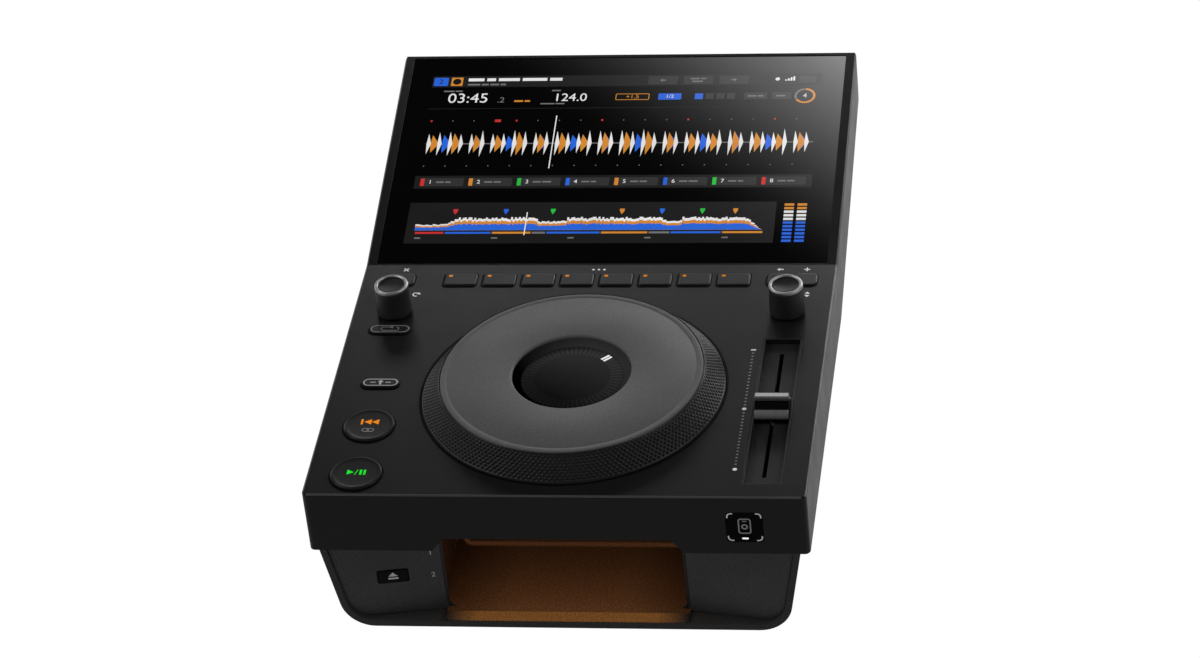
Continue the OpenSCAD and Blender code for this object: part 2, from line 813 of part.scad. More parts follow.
module audio_outputs() {
    mid = (audio_x[0] + audio_x[1]) / 2;
    color("#c9a24a") placed() translate([0, tub_l, rear_mid]) {
        back_from(-9, 0) translate([mid, 0]) square([audio_x[1] - audio_x[0] + 14, 14], center = true);
        for (x = audio_x) translate([x, 0, 0]) rotate([-90, 0, 0]) difference() {
            union() {
                translate([0, 0, -0.5]) cylinder(r = 6, h = rear_t + 1);
                cylinder(r = 4.15, h = rear_t + 8);
            }
            translate([0, 0, rear_t + 0.5]) cylinder(r = 1.7, h = 8);
        }
    }
}

module power_button() {
    back = tub_l - 0.3;
    proud = push_travel + 0.7;
    color("#17181a") placed() translate([power_x, 0, rear_mid]) rotate([-90, 0, 0]) {
        translate([0, 0, back - 1]) cylinder(r = power_r, h = 1.3 + rear_t + proud);
        translate([0, 0, back - 3]) cylinder(r = power_r + 1.5, h = 3);
        translate([0, 0, back - 9]) cylinder(r = 2, h = 6.5);
    }
}

module jog_bowl() {
    floor_t = 2.5;
    color("#3b3c3f") placed() translate([0, jog_y, 0]) {
        rotate_extrude() polygon([
            [10, bowl_z - floor_t], [bowl_r + ring_t, bowl_z - floor_t], [bowl_r + ring_t, -wall],
            [bowl_r, -wall], [bowl_r, bowl_z], [10, bowl_z]
        ]);
        for (a = [45:90:315]) rotate([0, 0, a]) translate([0, 0, ear_z - 2.5]) difference() {
            union() {
                translate([ear_r, 0, 0]) cylinder(r = 6, h = 2.5);
                translate([bowl_r + 1, -6, 0]) cube([ear_r - bowl_r - 1, 12, 2.5]);
            }
            translate([ear_r, 0, -eps]) cylinder(r = screw_r + 0.3, h = 5);
        }
    }
}

module jog_post() {
    r = post_d / 2;
    thrust_z = hub_z - disc_t - 0.3;
    color("#9b9c9e") placed() translate([0, jog_y, 0]) rotate_extrude() polygon([
        [10, bowl_z], [r + 4, bowl_z], [r + 4, thrust_z], [r, thrust_z], [r, dish_z], [10, dish_z]
    ]);
}

// Fixed display in the wheel's middle, hollow towards its centre
module jog_display() {
    r = dish_r - 0.5;
    top = plate_z - dish_drop;
    color("#101113") placed() translate([0, jog_y, 0]) rotate_extrude() polygon([
        [0, dish_z], [r, dish_z], [r, top + 1.6], [r - 0.8, top + 1.6], [r - 4, top], [0, top]
    ]);
}

module jog_ring() {
    foot = 0.3;
    rim_r = plate_r + 0.3;
    web_z = seat_z - ring_t;
    color("#151617") placed() translate([0, jog_y, 0]) rotate_extrude() polygon([
        [hub_r, hub_z], [hub_r, cup_z], [cup_r, cup_z], [cup_r, seat_z], [rim_r, seat_z],
        [rim_r, plate_z - 0.2], [jog_r, foot], [jog_r, -skirt], [jog_r - ring_t, -skirt],
        [jog_r - ring_t, foot - 1.2], [plate_r - ring_t, web_z], [cup_r + ring_t, web_z],
        [cup_r + ring_t, cup_z - ring_t], [hub_r + ring_t, cup_z - ring_t], [hub_r + ring_t, hub_z]
    ]);
}

module jog_plate() {
    groove_r = plate_r - 3.3;
    groove = 0.7;
    bevel = 1.2;
    color("#5d5e61") placed() translate([0, jog_y, 0]) rotate_extrude() polygon([
        [dish_r, seat_z], [dish_r, plate_z - bevel], [dish_r + bevel, plate_z],
        [groove_r - groove, plate_z], [groove_r - groove, plate_z - groove],
        [groove_r, plate_z - groove], [groove_r, plate_z], [plate_r - 0.4, plate_z],
        [plate_r, plate_z - 0.4], [plate_r, seat_z]
    ]);
}

module jog_bearing() {
    r = post_d / 2 + turn;
    color("#b08d4a") placed() translate([0, jog_y, hub_z]) difference() {
        cylinder(r = hub_r, h = cup_z - hub_z);
        translate([0, 0, -eps]) cylinder(r = r, h = cup_z - hub_z + 2 * eps);
    }
}

module encoder_disc() {
    slot_r = disc_d / 2 - 4;
    color("#77787a") placed() translate([0, jog_y, hub_z - disc_t]) difference() {
        cylinder(d = disc_d, h = disc_t);
        translate([0, 0, -eps]) cylinder(r = post_d / 2 + 2, h = disc_t + 2 * eps);
        for (i = [0:disc_slots - 1]) rotate([0, 0, i * 360 / disc_slots])
            translate([slot_r, 0, disc_t / 2]) cube([4, 2, 4 * disc_t], center = true);
    }
}

module encoder_body(x) {
    placed() translate([x, knob_y, board_z]) difference() {
        translate([-encoder_w / 2, -encoder_w / 2, 0]) cube([encoder_w, encoder_w, encoder_h]);
        translate([0, 0, -eps]) cylinder(r = sleeve_r + turn, h = encoder_h + 2 * eps);
    }
}

// Sleeve that a press carries down, with the shaft turning in it
module encoder_sleeve(x) {
    placed() translate([x, knob_y, board_z + 1.5]) difference() {
        cylinder(r = sleeve_r, h = encoder_h + 0.5);
        translate([0, 0, -eps]) cylinder(r = shaft_r + turn, h = encoder_h + 2 * eps);
    }
}

module encoder_shaft(x) {
    collar_z = board_z + 2 + encoder_h + turn;
    placed() translate([x, knob_y, 0]) {
        translate([0, 0, board_z + 1.5]) cylinder(r = shaft_r, h = knob_z - 5 - board_z - 1.5);
        translate([0, 0, collar_z]) cylinder(r = shaft_r + 1.2, h = 1.5);
    }
}

module knob(x) {
    r = knob_d / 2;
    inner = r - trim_w;
    shoulder = knob_z - trim_t;
    bowl = 22;
    placed() translate([x, knob_y, 0]) difference() {
        rotate_extrude() polygon([
            [0, knob_foot], [r + 0.2, knob_foot], [r + 0.2, knob_foot + 2], [r, shoulder],
            [inner - fit, shoulder], [inner - fit, knob_z - knob_sink], [0, knob_z - knob_sink]
        ]);
        translate([0, 0, -eps]) cylinder(r = shaft_r + 0.02, h = knob_z - 5 + eps);
        translate([0, 0, knob_z - knob_sink - 1 + bowl]) sphere(bowl);
    }
}

// Bright ring round a knob's hollow top
module knob_trim(x) {
    r = knob_d / 2;
    inner = r - trim_w;
    placed() translate([x, knob_y, 0]) rotate_extrude() polygon([
        [inner, knob_z - trim_t], [r, knob_z - trim_t], [r, knob_z - 0.7], [r - 0.7, knob_z],
        [inner + 0.3, knob_z], [inner, knob_z - 0.3]
    ]);
}

module left_encoder_body() {
    color("#4a4b4e") encoder_body(-knob_x);
}

module right_encoder_body() {
    color("#4a4b4e") encoder_body(knob_x);
}

module left_encoder_sleeve() {
    color("#8d8e90") encoder_sleeve(-knob_x);
}

module right_encoder_sleeve() {
    color("#8d8e90") encoder_sleeve(knob_x);
}

module left_encoder_shaft() {
    color("#b5b6b8") encoder_shaft(-knob_x);
}

module right_encoder_shaft() {
    color("#b5b6b8") encoder_shaft(knob_x);
}

module left_knob() {
    color("#1c1d1f") knob(-knob_x);
}

module right_knob() {
    color("#1c1d1f") knob(knob_x);
}

module left_knob_trim() {
    color("#c9cacc") knob_trim(-knob_x);
}

module right_knob_trim() {
    color("#c9cacc") knob_trim(knob_x);
}

// Stem from a key's flange down to just above its switch
module key_stem() {
    translate([0, 0, stem_z]) cylinder(r = 2, h = flange_z - flange_t / 2 - stem_z);
}

// Round button: dished top, flange under the deck, stem over the switch
module round_button(y) {
    r = button_d / 2;
    placed() translate([button_x, y, 0]) {
        rotate_extrude() polygon([
            [0, flange_z - flange_t], [r + button_flange, flange_z - flange_t],
            [r + button_flange, flange_z], [r, flange_z], [r, button_z - 0.6], [r - 0.6, button_z],
            [r - 1.6, button_z],
            [r - 3.2, button_z - 0.35], [0, button_z - 0.35]
        ]);
        key_stem();
    }
}

// Key with a rounded outline, flange and stem
module flat_key(x, y, w, l, r, top) {
    placed() translate([x, y, 0]) {
        up_from(flange_z - flange_t / 2, top) rounded(w, l, r);
        up_from(flange_z - flange_t, flange_z)
            rounded(w + 2 * side_flange, l + 2 * flange, r + side_flange);
        key_stem();
    }
}

module cue_button() {
    color("#1f2022") round_button(cue_y);
}

module play_button() {
    color("#1f2022") round_button(play_y);
}

module shift_button() {
    color("#2a2b2d") flat_key(button_x, shift_y, shift_w, pill_l, pill_l / 2 - 0.01, button_z);
}

module loop_button() {
    color("#26272a") flat_key(-knob_x, loop_y, loop_w, pill_l, pill_l / 2 - 0.01, pad_z);
}

module delete_button() {
    color("#232426") flat_key(-knob_x, pads_y, key_w, pad_l, key_r, pad_z);
}

module back_button() {
    color("#232426") flat_key(back_x, pads_y, key_w, pad_l, key_r, pad_z);
}

module tag_button() {
    color("#232426") flat_key(tag_x, pads_y, key_w, pad_l, key_r, pad_z);
}

module hot_cue_pad(i) {
    color("#2a2b2d") flat_key(pad_x(i), pads_y, pad_w, pad_l, pad_r, pad_z);
}

module eject_button() {
    color("#3a3b3e") placed() on_left_panel() {
        back_from(-0.4, panel_t + 1) rounded(eject_w, eject_h, 0.8);
        back_from(panel_t + 0.3, panel_t + 1.8)
            rounded(eject_w + 2 * flange + 1, eject_h + 2 * flange + 1, 1);
        back_from(panel_t + 1.5, panel_t + 5) circle(2);
    }
}

module rubber_feet() {
    inset = 14;
    color("#101011") translate([0, 0, foot_h]) mirror([0, 0, 1])
        for (x = [-1, 1], y = [-depth / 2 + inset, -depth / 2 + tub_l - inset])
            translate([x * (tub_half - tub_r - foot_d / 2 - 8.5), y, 0]) rotate_extrude() polygon([
                [0, 0], [foot_d / 2, 0], [foot_d / 2, foot_h - 0.8], [foot_d / 2 - 0.8, foot_h], [0, foot_h]
            ]);
}

// Screw with its head below the origin and its shank up
module screw(l) {
    translate([0, 0, -head_h]) cylinder(r = head_r, h = head_h);
    translate([0, 0, -0.5]) cylinder(r = screw_r, h = l + 0.5);
}

module case_screws() {
    color("#77787a") placed() for (p = case_points) translate([p.x, p.y, case_head_z]) screw(case_screw_l);
}

module panel_screws() {
    color("#77787a") placed() {
        for (p = ear_points) translate([p.x, p.y, ear_z - 2.5]) screw(screw_l);
        for (p = standoffs) translate([p.x, p.y, main_z + board_t]) rotate([180, 0, 0]) screw(screw_l);
        for (x = [-1, 1], z = rear_z) translate([
            x * (rear_w - rear_lip) / 2, tub_l + rear_t,
            z + (z < rear_mid ? 1 : -1) * rear_lip / 2
        ]) rotate([90, 0, 0]) screw(screw_l);
    }
}

lower_tub();
front_left_panel();
front_right_panel();
media_bay_liner();
bay_light_bar();
usb_port_upper();
usb_port_lower();
upper_shell();
fader_channel();
touch_window();
screen_glass();
display_panel();
main_board();
control_board();
power_supply();
rear_panel();
mains_inlet();
lan_socket();
audio_outputs();
jog_bowl();
jog_post();
jog_display();
tact_switches();
left_encoder_body();
right_encoder_body();
fader_body();
rubber_feet();
case_screws();
panel_screws();
jog_ring();
jog_plate();
jog_bearing();
encoder_disc();
fader_lever();
fader_cap();
left_knob();
left_knob_trim();
left_encoder_shaft();
left_encoder_sleeve();
right_knob();
right_knob_trim();
right_encoder_shaft();
right_encoder_sleeve();
cue_button();
play_button();
shift_button();
loop_button();
delete_button();
back_button();
tag_button();
hot_cue_pad(0);  // hot_cue_pad_1
hot_cue_pad(1);  // hot_cue_pad_2
hot_cue_pad(2);  // hot_cue_pad_3
hot_cue_pad(3);  // hot_cue_pad_4
hot_cue_pad(4);  // hot_cue_pad_5
hot_cue_pad(5);  // hot_cue_pad_6
hot_cue_pad(6);  // hot_cue_pad_7
hot_cue_pad(7);  // hot_cue_pad_8
eject_button();
power_button();
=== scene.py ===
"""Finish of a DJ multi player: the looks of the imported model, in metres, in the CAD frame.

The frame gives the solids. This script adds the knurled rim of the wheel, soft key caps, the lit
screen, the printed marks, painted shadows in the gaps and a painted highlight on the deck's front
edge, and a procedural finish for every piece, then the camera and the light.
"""

import math

import bpy
import numpy as np
from mathutils import Euler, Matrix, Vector


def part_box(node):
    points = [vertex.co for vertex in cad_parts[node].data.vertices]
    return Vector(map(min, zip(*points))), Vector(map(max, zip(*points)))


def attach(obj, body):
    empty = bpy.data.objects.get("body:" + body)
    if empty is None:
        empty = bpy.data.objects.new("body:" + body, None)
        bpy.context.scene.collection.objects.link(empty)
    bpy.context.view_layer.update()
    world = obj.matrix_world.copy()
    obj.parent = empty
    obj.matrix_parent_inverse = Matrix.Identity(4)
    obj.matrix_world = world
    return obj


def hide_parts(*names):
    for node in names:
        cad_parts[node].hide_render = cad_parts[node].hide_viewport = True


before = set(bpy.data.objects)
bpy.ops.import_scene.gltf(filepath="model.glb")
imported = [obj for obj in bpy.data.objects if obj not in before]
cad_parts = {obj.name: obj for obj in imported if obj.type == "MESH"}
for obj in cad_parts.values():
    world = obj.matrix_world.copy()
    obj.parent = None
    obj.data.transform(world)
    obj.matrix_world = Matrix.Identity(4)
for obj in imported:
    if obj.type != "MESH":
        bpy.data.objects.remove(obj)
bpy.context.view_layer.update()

# Layout, in millimetres in the part's frame, as the CAD has it
MM = 0.001


def middle(node):
    """The middle of a node's box, in millimetres."""
    low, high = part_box(node)
    return np.array((low + high) / 2) / MM


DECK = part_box("fader_channel")[1].z / MM
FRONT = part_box("upper_shell")[0].y / MM
TILT = math.radians(11.5)
GLASS_T = 1.6
JOG_Y = middle("jog_plate")[1]
FLANGE_TOP = DECK - 2.8
FLANGE_LOW = FLANGE_TOP - 1.4
LONG_FLANGE, ROUND_FLANGE = (0.7, 1.2), (0.6, 0.6)
STEM_R = 2.0
KEY_DISH = 0.3
PAD_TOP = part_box("loop_button")[1].z / MM
BUTTON_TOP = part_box("cue_button")[1].z / MM
PADS = ["hot_cue_pad_%d" % number for number in range(1, 9)]
gap_shadows = []


# Surfaces

def grid_faces(rows, cols, closed=False):
    """Four-cornered faces between neighbouring points of a grid whose rows run round;
    a closed grid also joins its last row to its first."""
    i, j = np.meshgrid(np.arange(rows if closed else rows - 1), np.arange(cols), indexing="ij")
    right, up = (j + 1) % cols, (i + 1) % rows
    return np.stack([i * cols + j, i * cols + right, up * cols + right, up * cols + j], -1).reshape(-1, 4)


def placed(name, data):
    """An object that holds this data, put into the scene."""
    held = bpy.data.objects.new(name, data)
    bpy.context.scene.collection.objects.link(held)
    return held


def make(name, points, faces, finish, body, slot, sharp=35, stands_for=()):
    """A mesh from points in millimetres, shaded smooth up to an edge angle, riding on its body."""
    mesh = bpy.data.meshes.new(name)
    mesh.from_pydata((np.asarray(points, float).reshape(-1, 3) * MM).tolist(), [], faces)
    mesh.shade_smooth()
    mesh.set_sharp_from_angle(angle=math.radians(sharp))
    mesh.materials.append(finish)
    piece = placed(name, mesh)
    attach(piece, body)
    if stands_for:
        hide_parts(*stands_for)
    return piece


def stacked(rings):
    """Rings of equal length stacked from the lowest up, a flat face closing each end."""
    rows, cols = len(rings), len(rings[0])
    faces = grid_faces(rows, cols).tolist()
    faces.append(list(range(cols))[::-1])
    faces.append(list(range((rows - 1) * cols, rows * cols)))
    return np.concatenate(rings), faces


def rounded_ring(half_w, half_l, r, steps=9):
    """Rounded rectangle: a quarter circle of radius r about each corner's centre, anticlockwise."""
    turn = (np.arange(4)[:, None] + np.linspace(0, 1, steps)) * math.pi / 2
    side = np.array([[1, 1], [-1, 1], [-1, -1], [1, -1]])
    x = side[:, :1] * (half_w - r) + r * np.cos(turn)
    y = side[:, 1:] * (half_l - r) + r * np.sin(turn)
    return np.stack([x, y], -1).reshape(-1, 2)


def soft_edge(radius, top):
    """Quarter circle over an edge, as (inset, height) pairs from the side up to the top."""
    turn = np.linspace(0, math.pi / 2, 5)
    return list(zip(radius * (1 - np.cos(turn)), top - radius * (1 - np.sin(turn))))


def key_cap(name, w, l, r, top, slot, flange, dish=0.0, edge=0.5):
    """Key over its node's box: stem, flange, then the rounded outline drawn in over a soft edge,
    with the middle of the top let down by the dish. A painted shadow of the gap round it, wider at
    the front left, is kept for the deck's marks."""
    x, y, _ = middle(name)
    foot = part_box(name)[0].z / MM
    side, ends = flange
    profile = [(0, FLANGE_TOP)] + soft_edge(edge, top)
    profile += [(edge + 0.5, top - dish * 0.15), (edge + 1.4, top - dish * 0.8), (edge + 2.4, top - dish)]
    outlines = [(STEM_R, STEM_R, STEM_R, z) for z in (foot, FLANGE_LOW)]
    outlines += [(w / 2 + side, l / 2 + ends, r + side, z) for z in (FLANGE_LOW, FLANGE_TOP)]
    outlines += [(w / 2 - d, l / 2 - d, max(r - d, 0.15), z) for d, z in profile]
    place = on_top(0, name)
    rings = [place(rounded_ring(*sides), z) for *sides, z in outlines]
    # The gap's outline is set off to the front left, as a painted shadow
    outer = rounded_ring(w / 2 + 0.6, l / 2 + 0.8, r + 0.5) + (x - 0.35, y - 0.65)
    inner = rounded_ring(w / 2 + 0.02, l / 2 + 0.02, r) + (x, y)
    gap_shadows.append((np.concatenate([outer, inner]), grid_faces(2, len(outer))))
    make(name + "_cap", *stacked(rings), KEY, name, slot, stands_for=[name])


def turned(name, profile, x, y, finish, body, slot, steps=128, sharp=35, stands_for=(), closed=False):
    """A profile of (radius, height over the deck) pairs turned about an upright axis at (x, y)."""
    profile = np.array(profile, float)
    turn = np.linspace(0, 2 * math.pi, steps, endpoint=False)
    r, z = profile[:, :1], DECK + profile[:, 1:]
    points = np.stack([x + r * np.cos(turn), y + r * np.sin(turn), z + 0 * turn], -1)
    if closed:
        points, faces = points.reshape(-1, 3), grid_faces(len(profile), steps, True).tolist()
    else:
        points, faces = stacked(list(points))
    make(name, points, faces, finish, body, slot, sharp, stands_for)


# Flat marks: points (n, 2) in millimetres and faces of one kind

def bars(boxes):
    """Upright boxes given as (x0, y0, x1, y1)."""
    b = np.asarray(boxes, float).reshape(-1, 4)
    points = b[:, [0, 1, 2, 1, 2, 3, 0, 3]].reshape(-1, 2)
    return points, np.arange(len(points)).reshape(-1, 4)


def tablet(x, y, w, l, r):
    """Filled rounded rectangle round (x, y)."""
    ring = rounded_ring(w / 2, l / 2, r, 6) + (x, y)
    return ring, np.arange(len(ring))[None]


def outline(x, y, w, l, r, t):
    """Line of width t round a rounded rectangle."""
    outer = rounded_ring(w / 2, l / 2, r, 7) + (x, y)
    inner = rounded_ring(w / 2 - t, l / 2 - t, max(r - t, 0.05), 7) + (x, y)
    return np.concatenate([outer, inner]), grid_faces(2, len(outer))


def arc(x, y, r, t, start, end, steps):
    """Line of width t along a circle of radius r, anticlockwise between two angles in degrees."""
    turn = np.radians(np.linspace(start, end, steps))
    ray = np.stack([np.cos(turn), np.sin(turn)], -1)
    points = np.concatenate([ray * (r + t / 2), ray * (r - t / 2)]) + (x, y)
    i = np.arange(steps - 1)
    return points, np.stack([i, i + 1, i + 1 + steps, i + steps], -1)


def polygon(*corners):
    """One flat face through its corners, anticlockwise."""
    return np.array(corners, float), np.arange(len(corners))[None]


def spun(flat, degrees):
    """Flat points turned about the origin, anticlockwise."""
    a = math.radians(degrees)
    return flat @ np.array([[math.cos(a), math.sin(a)], [-math.sin(a), math.cos(a)]])


def arrow(x, y, w, l, turn=0):
    """Arrow with a stem, pointing up before it is turned about (x, y)."""
    shape = np.array([[-0.16, -0.5], [0.16, -0.5], [0.16, 0.05], [0.5, 0.05], [0, 0.5], [-0.5, 0.05],
                      [-0.16, 0.05]])
    return spun(shape * (w, l), turn) + (x, y), np.arange(len(shape))[None]


def dots(places, r, steps=14):
    """Round dots of radius r at the given places."""
    turn = np.linspace(0, 2 * math.pi, steps, endpoint=False)
    points = np.asarray(places, float)[:, None] + r * np.stack([np.cos(turn), np.sin(turn)], -1)
    return points.reshape(-1, 2), np.arange(points.shape[0] * steps).reshape(-1, steps)


def figures(text, size, x, y):
    """Plain figures in Blender's own font, as triangles round (x, y)."""
    curve = bpy.data.curves.new("figures", "FONT")
    curve.body, curve.size, curve.align_x, curve.align_y = text, size, "CENTER", "CENTER"
    holder = bpy.data.objects.new("figures", curve)
    mesh = bpy.data.meshes.new_from_object(holder)
    mesh.calc_loop_triangles()
    points = np.zeros(len(mesh.vertices) * 3)
    faces = np.zeros(len(mesh.loop_triangles) * 3, np.int32)
    mesh.vertices.foreach_get("co", points)
    mesh.loop_triangles.foreach_get("vertices", faces)
    bpy.data.objects.remove(holder)
    bpy.data.curves.remove(curve)
    bpy.data.meshes.remove(mesh)
    return points.reshape(-1, 3)[:, :2] + (x, y), faces.reshape(-1, 3)


def marks(name, shapes, place, finish, body="casing", slot="shell", lift=0.05):
    """Flat shapes put together on a surface: their points stacked, their face numbers moved on."""
    starts = np.cumsum([0] + [len(points) for points, _ in shapes])
    flat = np.concatenate([points for points, _ in shapes])
    faces = sum(((f + start).tolist() for (_, f), start in zip(shapes, starts)), [])
    make(name, place(flat, lift), faces, finish, body, slot)


def on_top(z, node=None):
    """Places flat marks on a level face at height z, drawn from a node's middle or the part's."""
    start = middle(node)[:2] if node else (0, 0)
    return lambda flat, lift: np.column_stack([flat + start, np.full(len(flat), z + lift)])


def on_glass(flat, lift):
    """Places flat marks on the sloped glass, from the middle of its upper face."""
    up = np.array([0, math.cos(TILT), math.sin(TILT)])
    out = np.array([0, -math.sin(TILT), math.cos(TILT)])
    start = middle("screen_glass") + (GLASS_T / 2 + lift) * out
    return start + flat[:, :1] * (1, 0, 0) + flat[:, 1:] * up


def on_window(flat, lift):
    """Places flat marks, drawn as (x, z) from the touch window's middle, on its upright front."""
    x, _, z = middle("touch_window")
    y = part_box("touch_window")[0].y / MM
    return np.column_stack([x + flat[:, 0], np.full(len(flat), y - lift), z + flat[:, 1]])


# Finishes

def put(tree, kind, wires=None, **settings):
    """A shader node with its settings; each input is a value or another node's output."""
    made = tree.nodes.new("ShaderNode" + kind)
    for key, value in settings.items():
        setattr(made, key, value)
    for key, value in (wires or {}).items():
        if isinstance(value, bpy.types.NodeSocket):
            tree.links.new(value, made.inputs[key])
        else:
            made.inputs[key].default_value = value
    return made


def effect(name, inputs, outputs):
    """An empty node group: colours and values go in, with their defaults, and the named kinds come out.
    Returns its tree, its inputs and its outputs."""
    tree = bpy.data.node_groups.new(name, "ShaderNodeTree")
    for label, value in inputs.items():
        kind = "NodeSocketColor" if isinstance(value, tuple) else "NodeSocketFloat"
        tree.interface.new_socket(label, in_out="INPUT", socket_type=kind).default_value = value
    for label, kind in outputs.items():
        tree.interface.new_socket(label, in_out="OUTPUT", socket_type="NodeSocket" + kind)
    return tree, tree.nodes.new("NodeGroupInput").outputs, tree.nodes.new("NodeGroupOutput").inputs


def noise(tree, scale, detail=2.0, vector=None):
    """Noise on the piece's own coordinates, which are metres."""
    vector = vector or put(tree, "TexCoord").outputs["Object"]
    return put(tree, "TexNoise", {"Vector": vector, "Scale": scale, "Detail": detail}).outputs[0]


def remap(tree, value, low, high, to_low, to_high):
    """A value carried from one range to another and kept inside it."""
    return put(tree, "MapRange", {"Value": value, "From Min": low, "From Max": high,
                                  "To Min": to_low, "To Max": to_high}).outputs[0]


def maths(tree, operation, a, b):
    """Two values put together in the named way."""
    return put(tree, "Math", {0: a, 1: b}, operation=operation).outputs[0]


def times(tree, a, b):
    """One value times another."""
    return maths(tree, "MULTIPLY", a, b)


def blended(tree, how, share, a, b):
    """Two colours put together in the named way."""
    return put(tree, "Mix", {0: share, 6: a, 7: b}, data_type="RGBA", blend_type=how).outputs[2]


def tinted(tree, color, by):
    """A colour times another colour or a value."""
    return blended(tree, "MULTIPLY", 1.0, color, by)


def round_edges(tree, radius):
    """The surface's normal, turned over its edges as if they had this radius."""
    return put(tree, "Bevel", {"Radius": radius}, samples=4).outputs[0]


def bumped(tree, height, depth, normal):
    """A normal tipped by the slope of a height."""
    return put(tree, "Bump", {"Height": height, "Distance": depth, "Normal": normal}).outputs[0]


def grey(value):
    """A colour without hue."""
    return (value, value, value, 1)


SURFACE = {"Color": "Color", "Roughness": "Float", "Normal": "Vector"}


def moulded_skin():
    """Moulded surface: fine grain as bump and speckle, broad cloudiness, handling marks in the gloss,
    and edges that are slightly round and lighter, as rubbed wear and as a painted highlight."""
    tree, given, out = effect("moulded skin", {"Color": grey(0.03), "Roughness": 0.5, "Grain": 2000.0,
                                               "Depth": 0.00002, "Edge": 0.0004, "Wear and highlight": 0.3}, SURFACE)
    grain = noise(tree, given["Grain"], 2.0)
    cloud = remap(tree, noise(tree, 16.0, 3.0), 0.3, 0.7, 0.9, 1.1)
    speckle = remap(tree, grain, 0.35, 0.75, 0.8, 1.35)
    round_edge = round_edges(tree, given["Edge"])
    flat = put(tree, "NewGeometry").outputs["Normal"]
    turned_away = put(tree, "VectorMath", {0: round_edge, 1: flat}, operation="DOT_PRODUCT").outputs["Value"]
    # Edges lighter all round: rubbed wear, and a painted highlight on every edge
    rubbed_and_highlit = times(tree, remap(tree, turned_away, 0.995, 0.9, 0.0, 1.0), given["Wear and highlight"])
    rubbed_and_highlit = times(tree, rubbed_and_highlit, remap(tree, noise(tree, 220.0, 4.0), 0.35, 0.65, 0.6, 1.0))
    tone = tinted(tree, given["Color"], times(tree, cloud, speckle))
    light = blended(tree, "ADD", 1.0, tinted(tree, tone, grey(1.8)), grey(0.025))
    tree.links.new(blended(tree, "MIX", rubbed_and_highlit, tone, light), out["Color"])
    handled = remap(tree, noise(tree, 55.0, 4.0), 0.35, 0.7, -0.03, 0.03)
    tree.links.new(maths(tree, "ADD", given["Roughness"], handled), out["Roughness"])
    tree.links.new(bumped(tree, grain, given["Depth"], round_edge), out["Normal"])
    return tree


def drawn_metal():
    """Metal with fine lines along X, a little uneven in tone and gloss, with round edges."""
    tree, given, out = effect("drawn metal", {"Color": grey(0.5), "Roughness": 0.3, "Depth": 0.00001,
                                              "Edge": 0.0002}, SURFACE)
    spot = put(tree, "TexCoord").outputs["Object"]
    long = put(tree, "Mapping", {"Vector": spot, "Scale": (90, 4000, 4000)}).outputs[0]
    lines = noise(tree, 1.0, 3.0, long)
    tree.links.new(tinted(tree, given["Color"], remap(tree, lines, 0.3, 0.7, 0.8, 1.15)), out["Color"])
    worn = remap(tree, lines, 0.3, 0.7, -0.08, 0.1)
    tree.links.new(maths(tree, "ADD", given["Roughness"], worn), out["Roughness"])
    round_edge = round_edges(tree, given["Edge"])
    tree.links.new(bumped(tree, lines, given["Depth"], round_edge), out["Normal"])
    return tree


def smudged_gloss():
    """Gloss with faint wiped streaks and a few finger marks."""
    tree, given, out = effect("smudged gloss", {"Roughness": 0.06, "Marks": 0.1}, {"Roughness": "Float"})
    wiped = remap(tree, noise(tree, 9.0, 5.0), 0.45, 0.75, 0.0, 1.0)
    touched = remap(tree, noise(tree, 65.0, 3.0), 0.55, 0.75, 0.0, 0.6)
    share = times(tree, maths(tree, "ADD", wiped, touched), given["Marks"])
    tree.links.new(maths(tree, "ADD", given["Roughness"], share), out["Roughness"])
    return tree


def lamp_spread():
    """Light behind a diffuser: one colour, a little uneven from place to place."""
    tree, given, out = effect("lamp spread", {"Color": grey(1.0), "Uneven": 0.15, "Size": 60.0},
                              {"Color": "Color"})
    patch = remap(tree, noise(tree, given["Size"], 2.0), 0.3, 0.7, 0.0, 1.0)
    shade = maths(tree, "SUBTRACT", 1.0, times(tree, patch, given["Uneven"]))
    tree.links.new(tinted(tree, given["Color"], shade), out["Color"])
    return tree


SKIN, METAL, GLOSS, LAMP = moulded_skin(), drawn_metal(), smudged_gloss(), lamp_spread()


def blank(name, fixed):
    """A new material; the fixed values go straight onto its shader."""
    material = bpy.data.materials.new(name)
    material.use_nodes = True
    tree = material.node_tree
    shader = tree.nodes["Principled BSDF"]
    for key, value in fixed.items():
        shader.inputs[key].default_value = value
    return material, tree, shader


def covered(name, group, values, fixed):
    """A material that takes colour, roughness and normal from an effect with its own values."""
    material, tree, shader = blank(name, fixed)
    skin = put(tree, "Group", values, node_tree=group)
    for here, there in (("Color", "Base Color"), ("Roughness", "Roughness"), ("Normal", "Normal")):
        tree.links.new(skin.outputs[here], shader.inputs[there])
    return material


def moulded(name, color, roughness, grain=2000.0, depth=0.00002, edge=0.0004, wear_and_highlight=0.3, gloss=0.5):
    """Plastic or paint with the moulded skin."""
    values = {"Color": color, "Roughness": roughness, "Grain": grain, "Depth": depth, "Edge": edge,
              "Wear and highlight": wear_and_highlight}
    return covered(name, SKIN, values, {"Specular IOR Level": gloss})


def printed(name, tone, roughness=0.5, gloss=0.5):
    """Thin print with hardly any grain of its own."""
    return moulded(name, grey(tone), roughness, 3000.0, 0.000004, 0.0001, 0.0, gloss)


def metal(name, tone, roughness, depth=0.000006, edge=0.0002):
    """Bare metal with drawn lines."""
    values = {"Color": grey(tone), "Roughness": roughness, "Depth": depth, "Edge": edge}
    return covered(name, METAL, values, {"Metallic": 1.0})


def glossy(name, tone, roughness, smudges=0.08, gloss=0.5):
    """Dark glass or polished plastic, with smudges in its gloss."""
    material, tree, shader = blank(name, {"Base Color": grey(tone), "Specular IOR Level": gloss})
    smudged = put(tree, "Group", {"Roughness": roughness, "Marks": smudges}, node_tree=GLOSS)
    tree.links.new(smudged.outputs[0], shader.inputs["Roughness"])
    return material


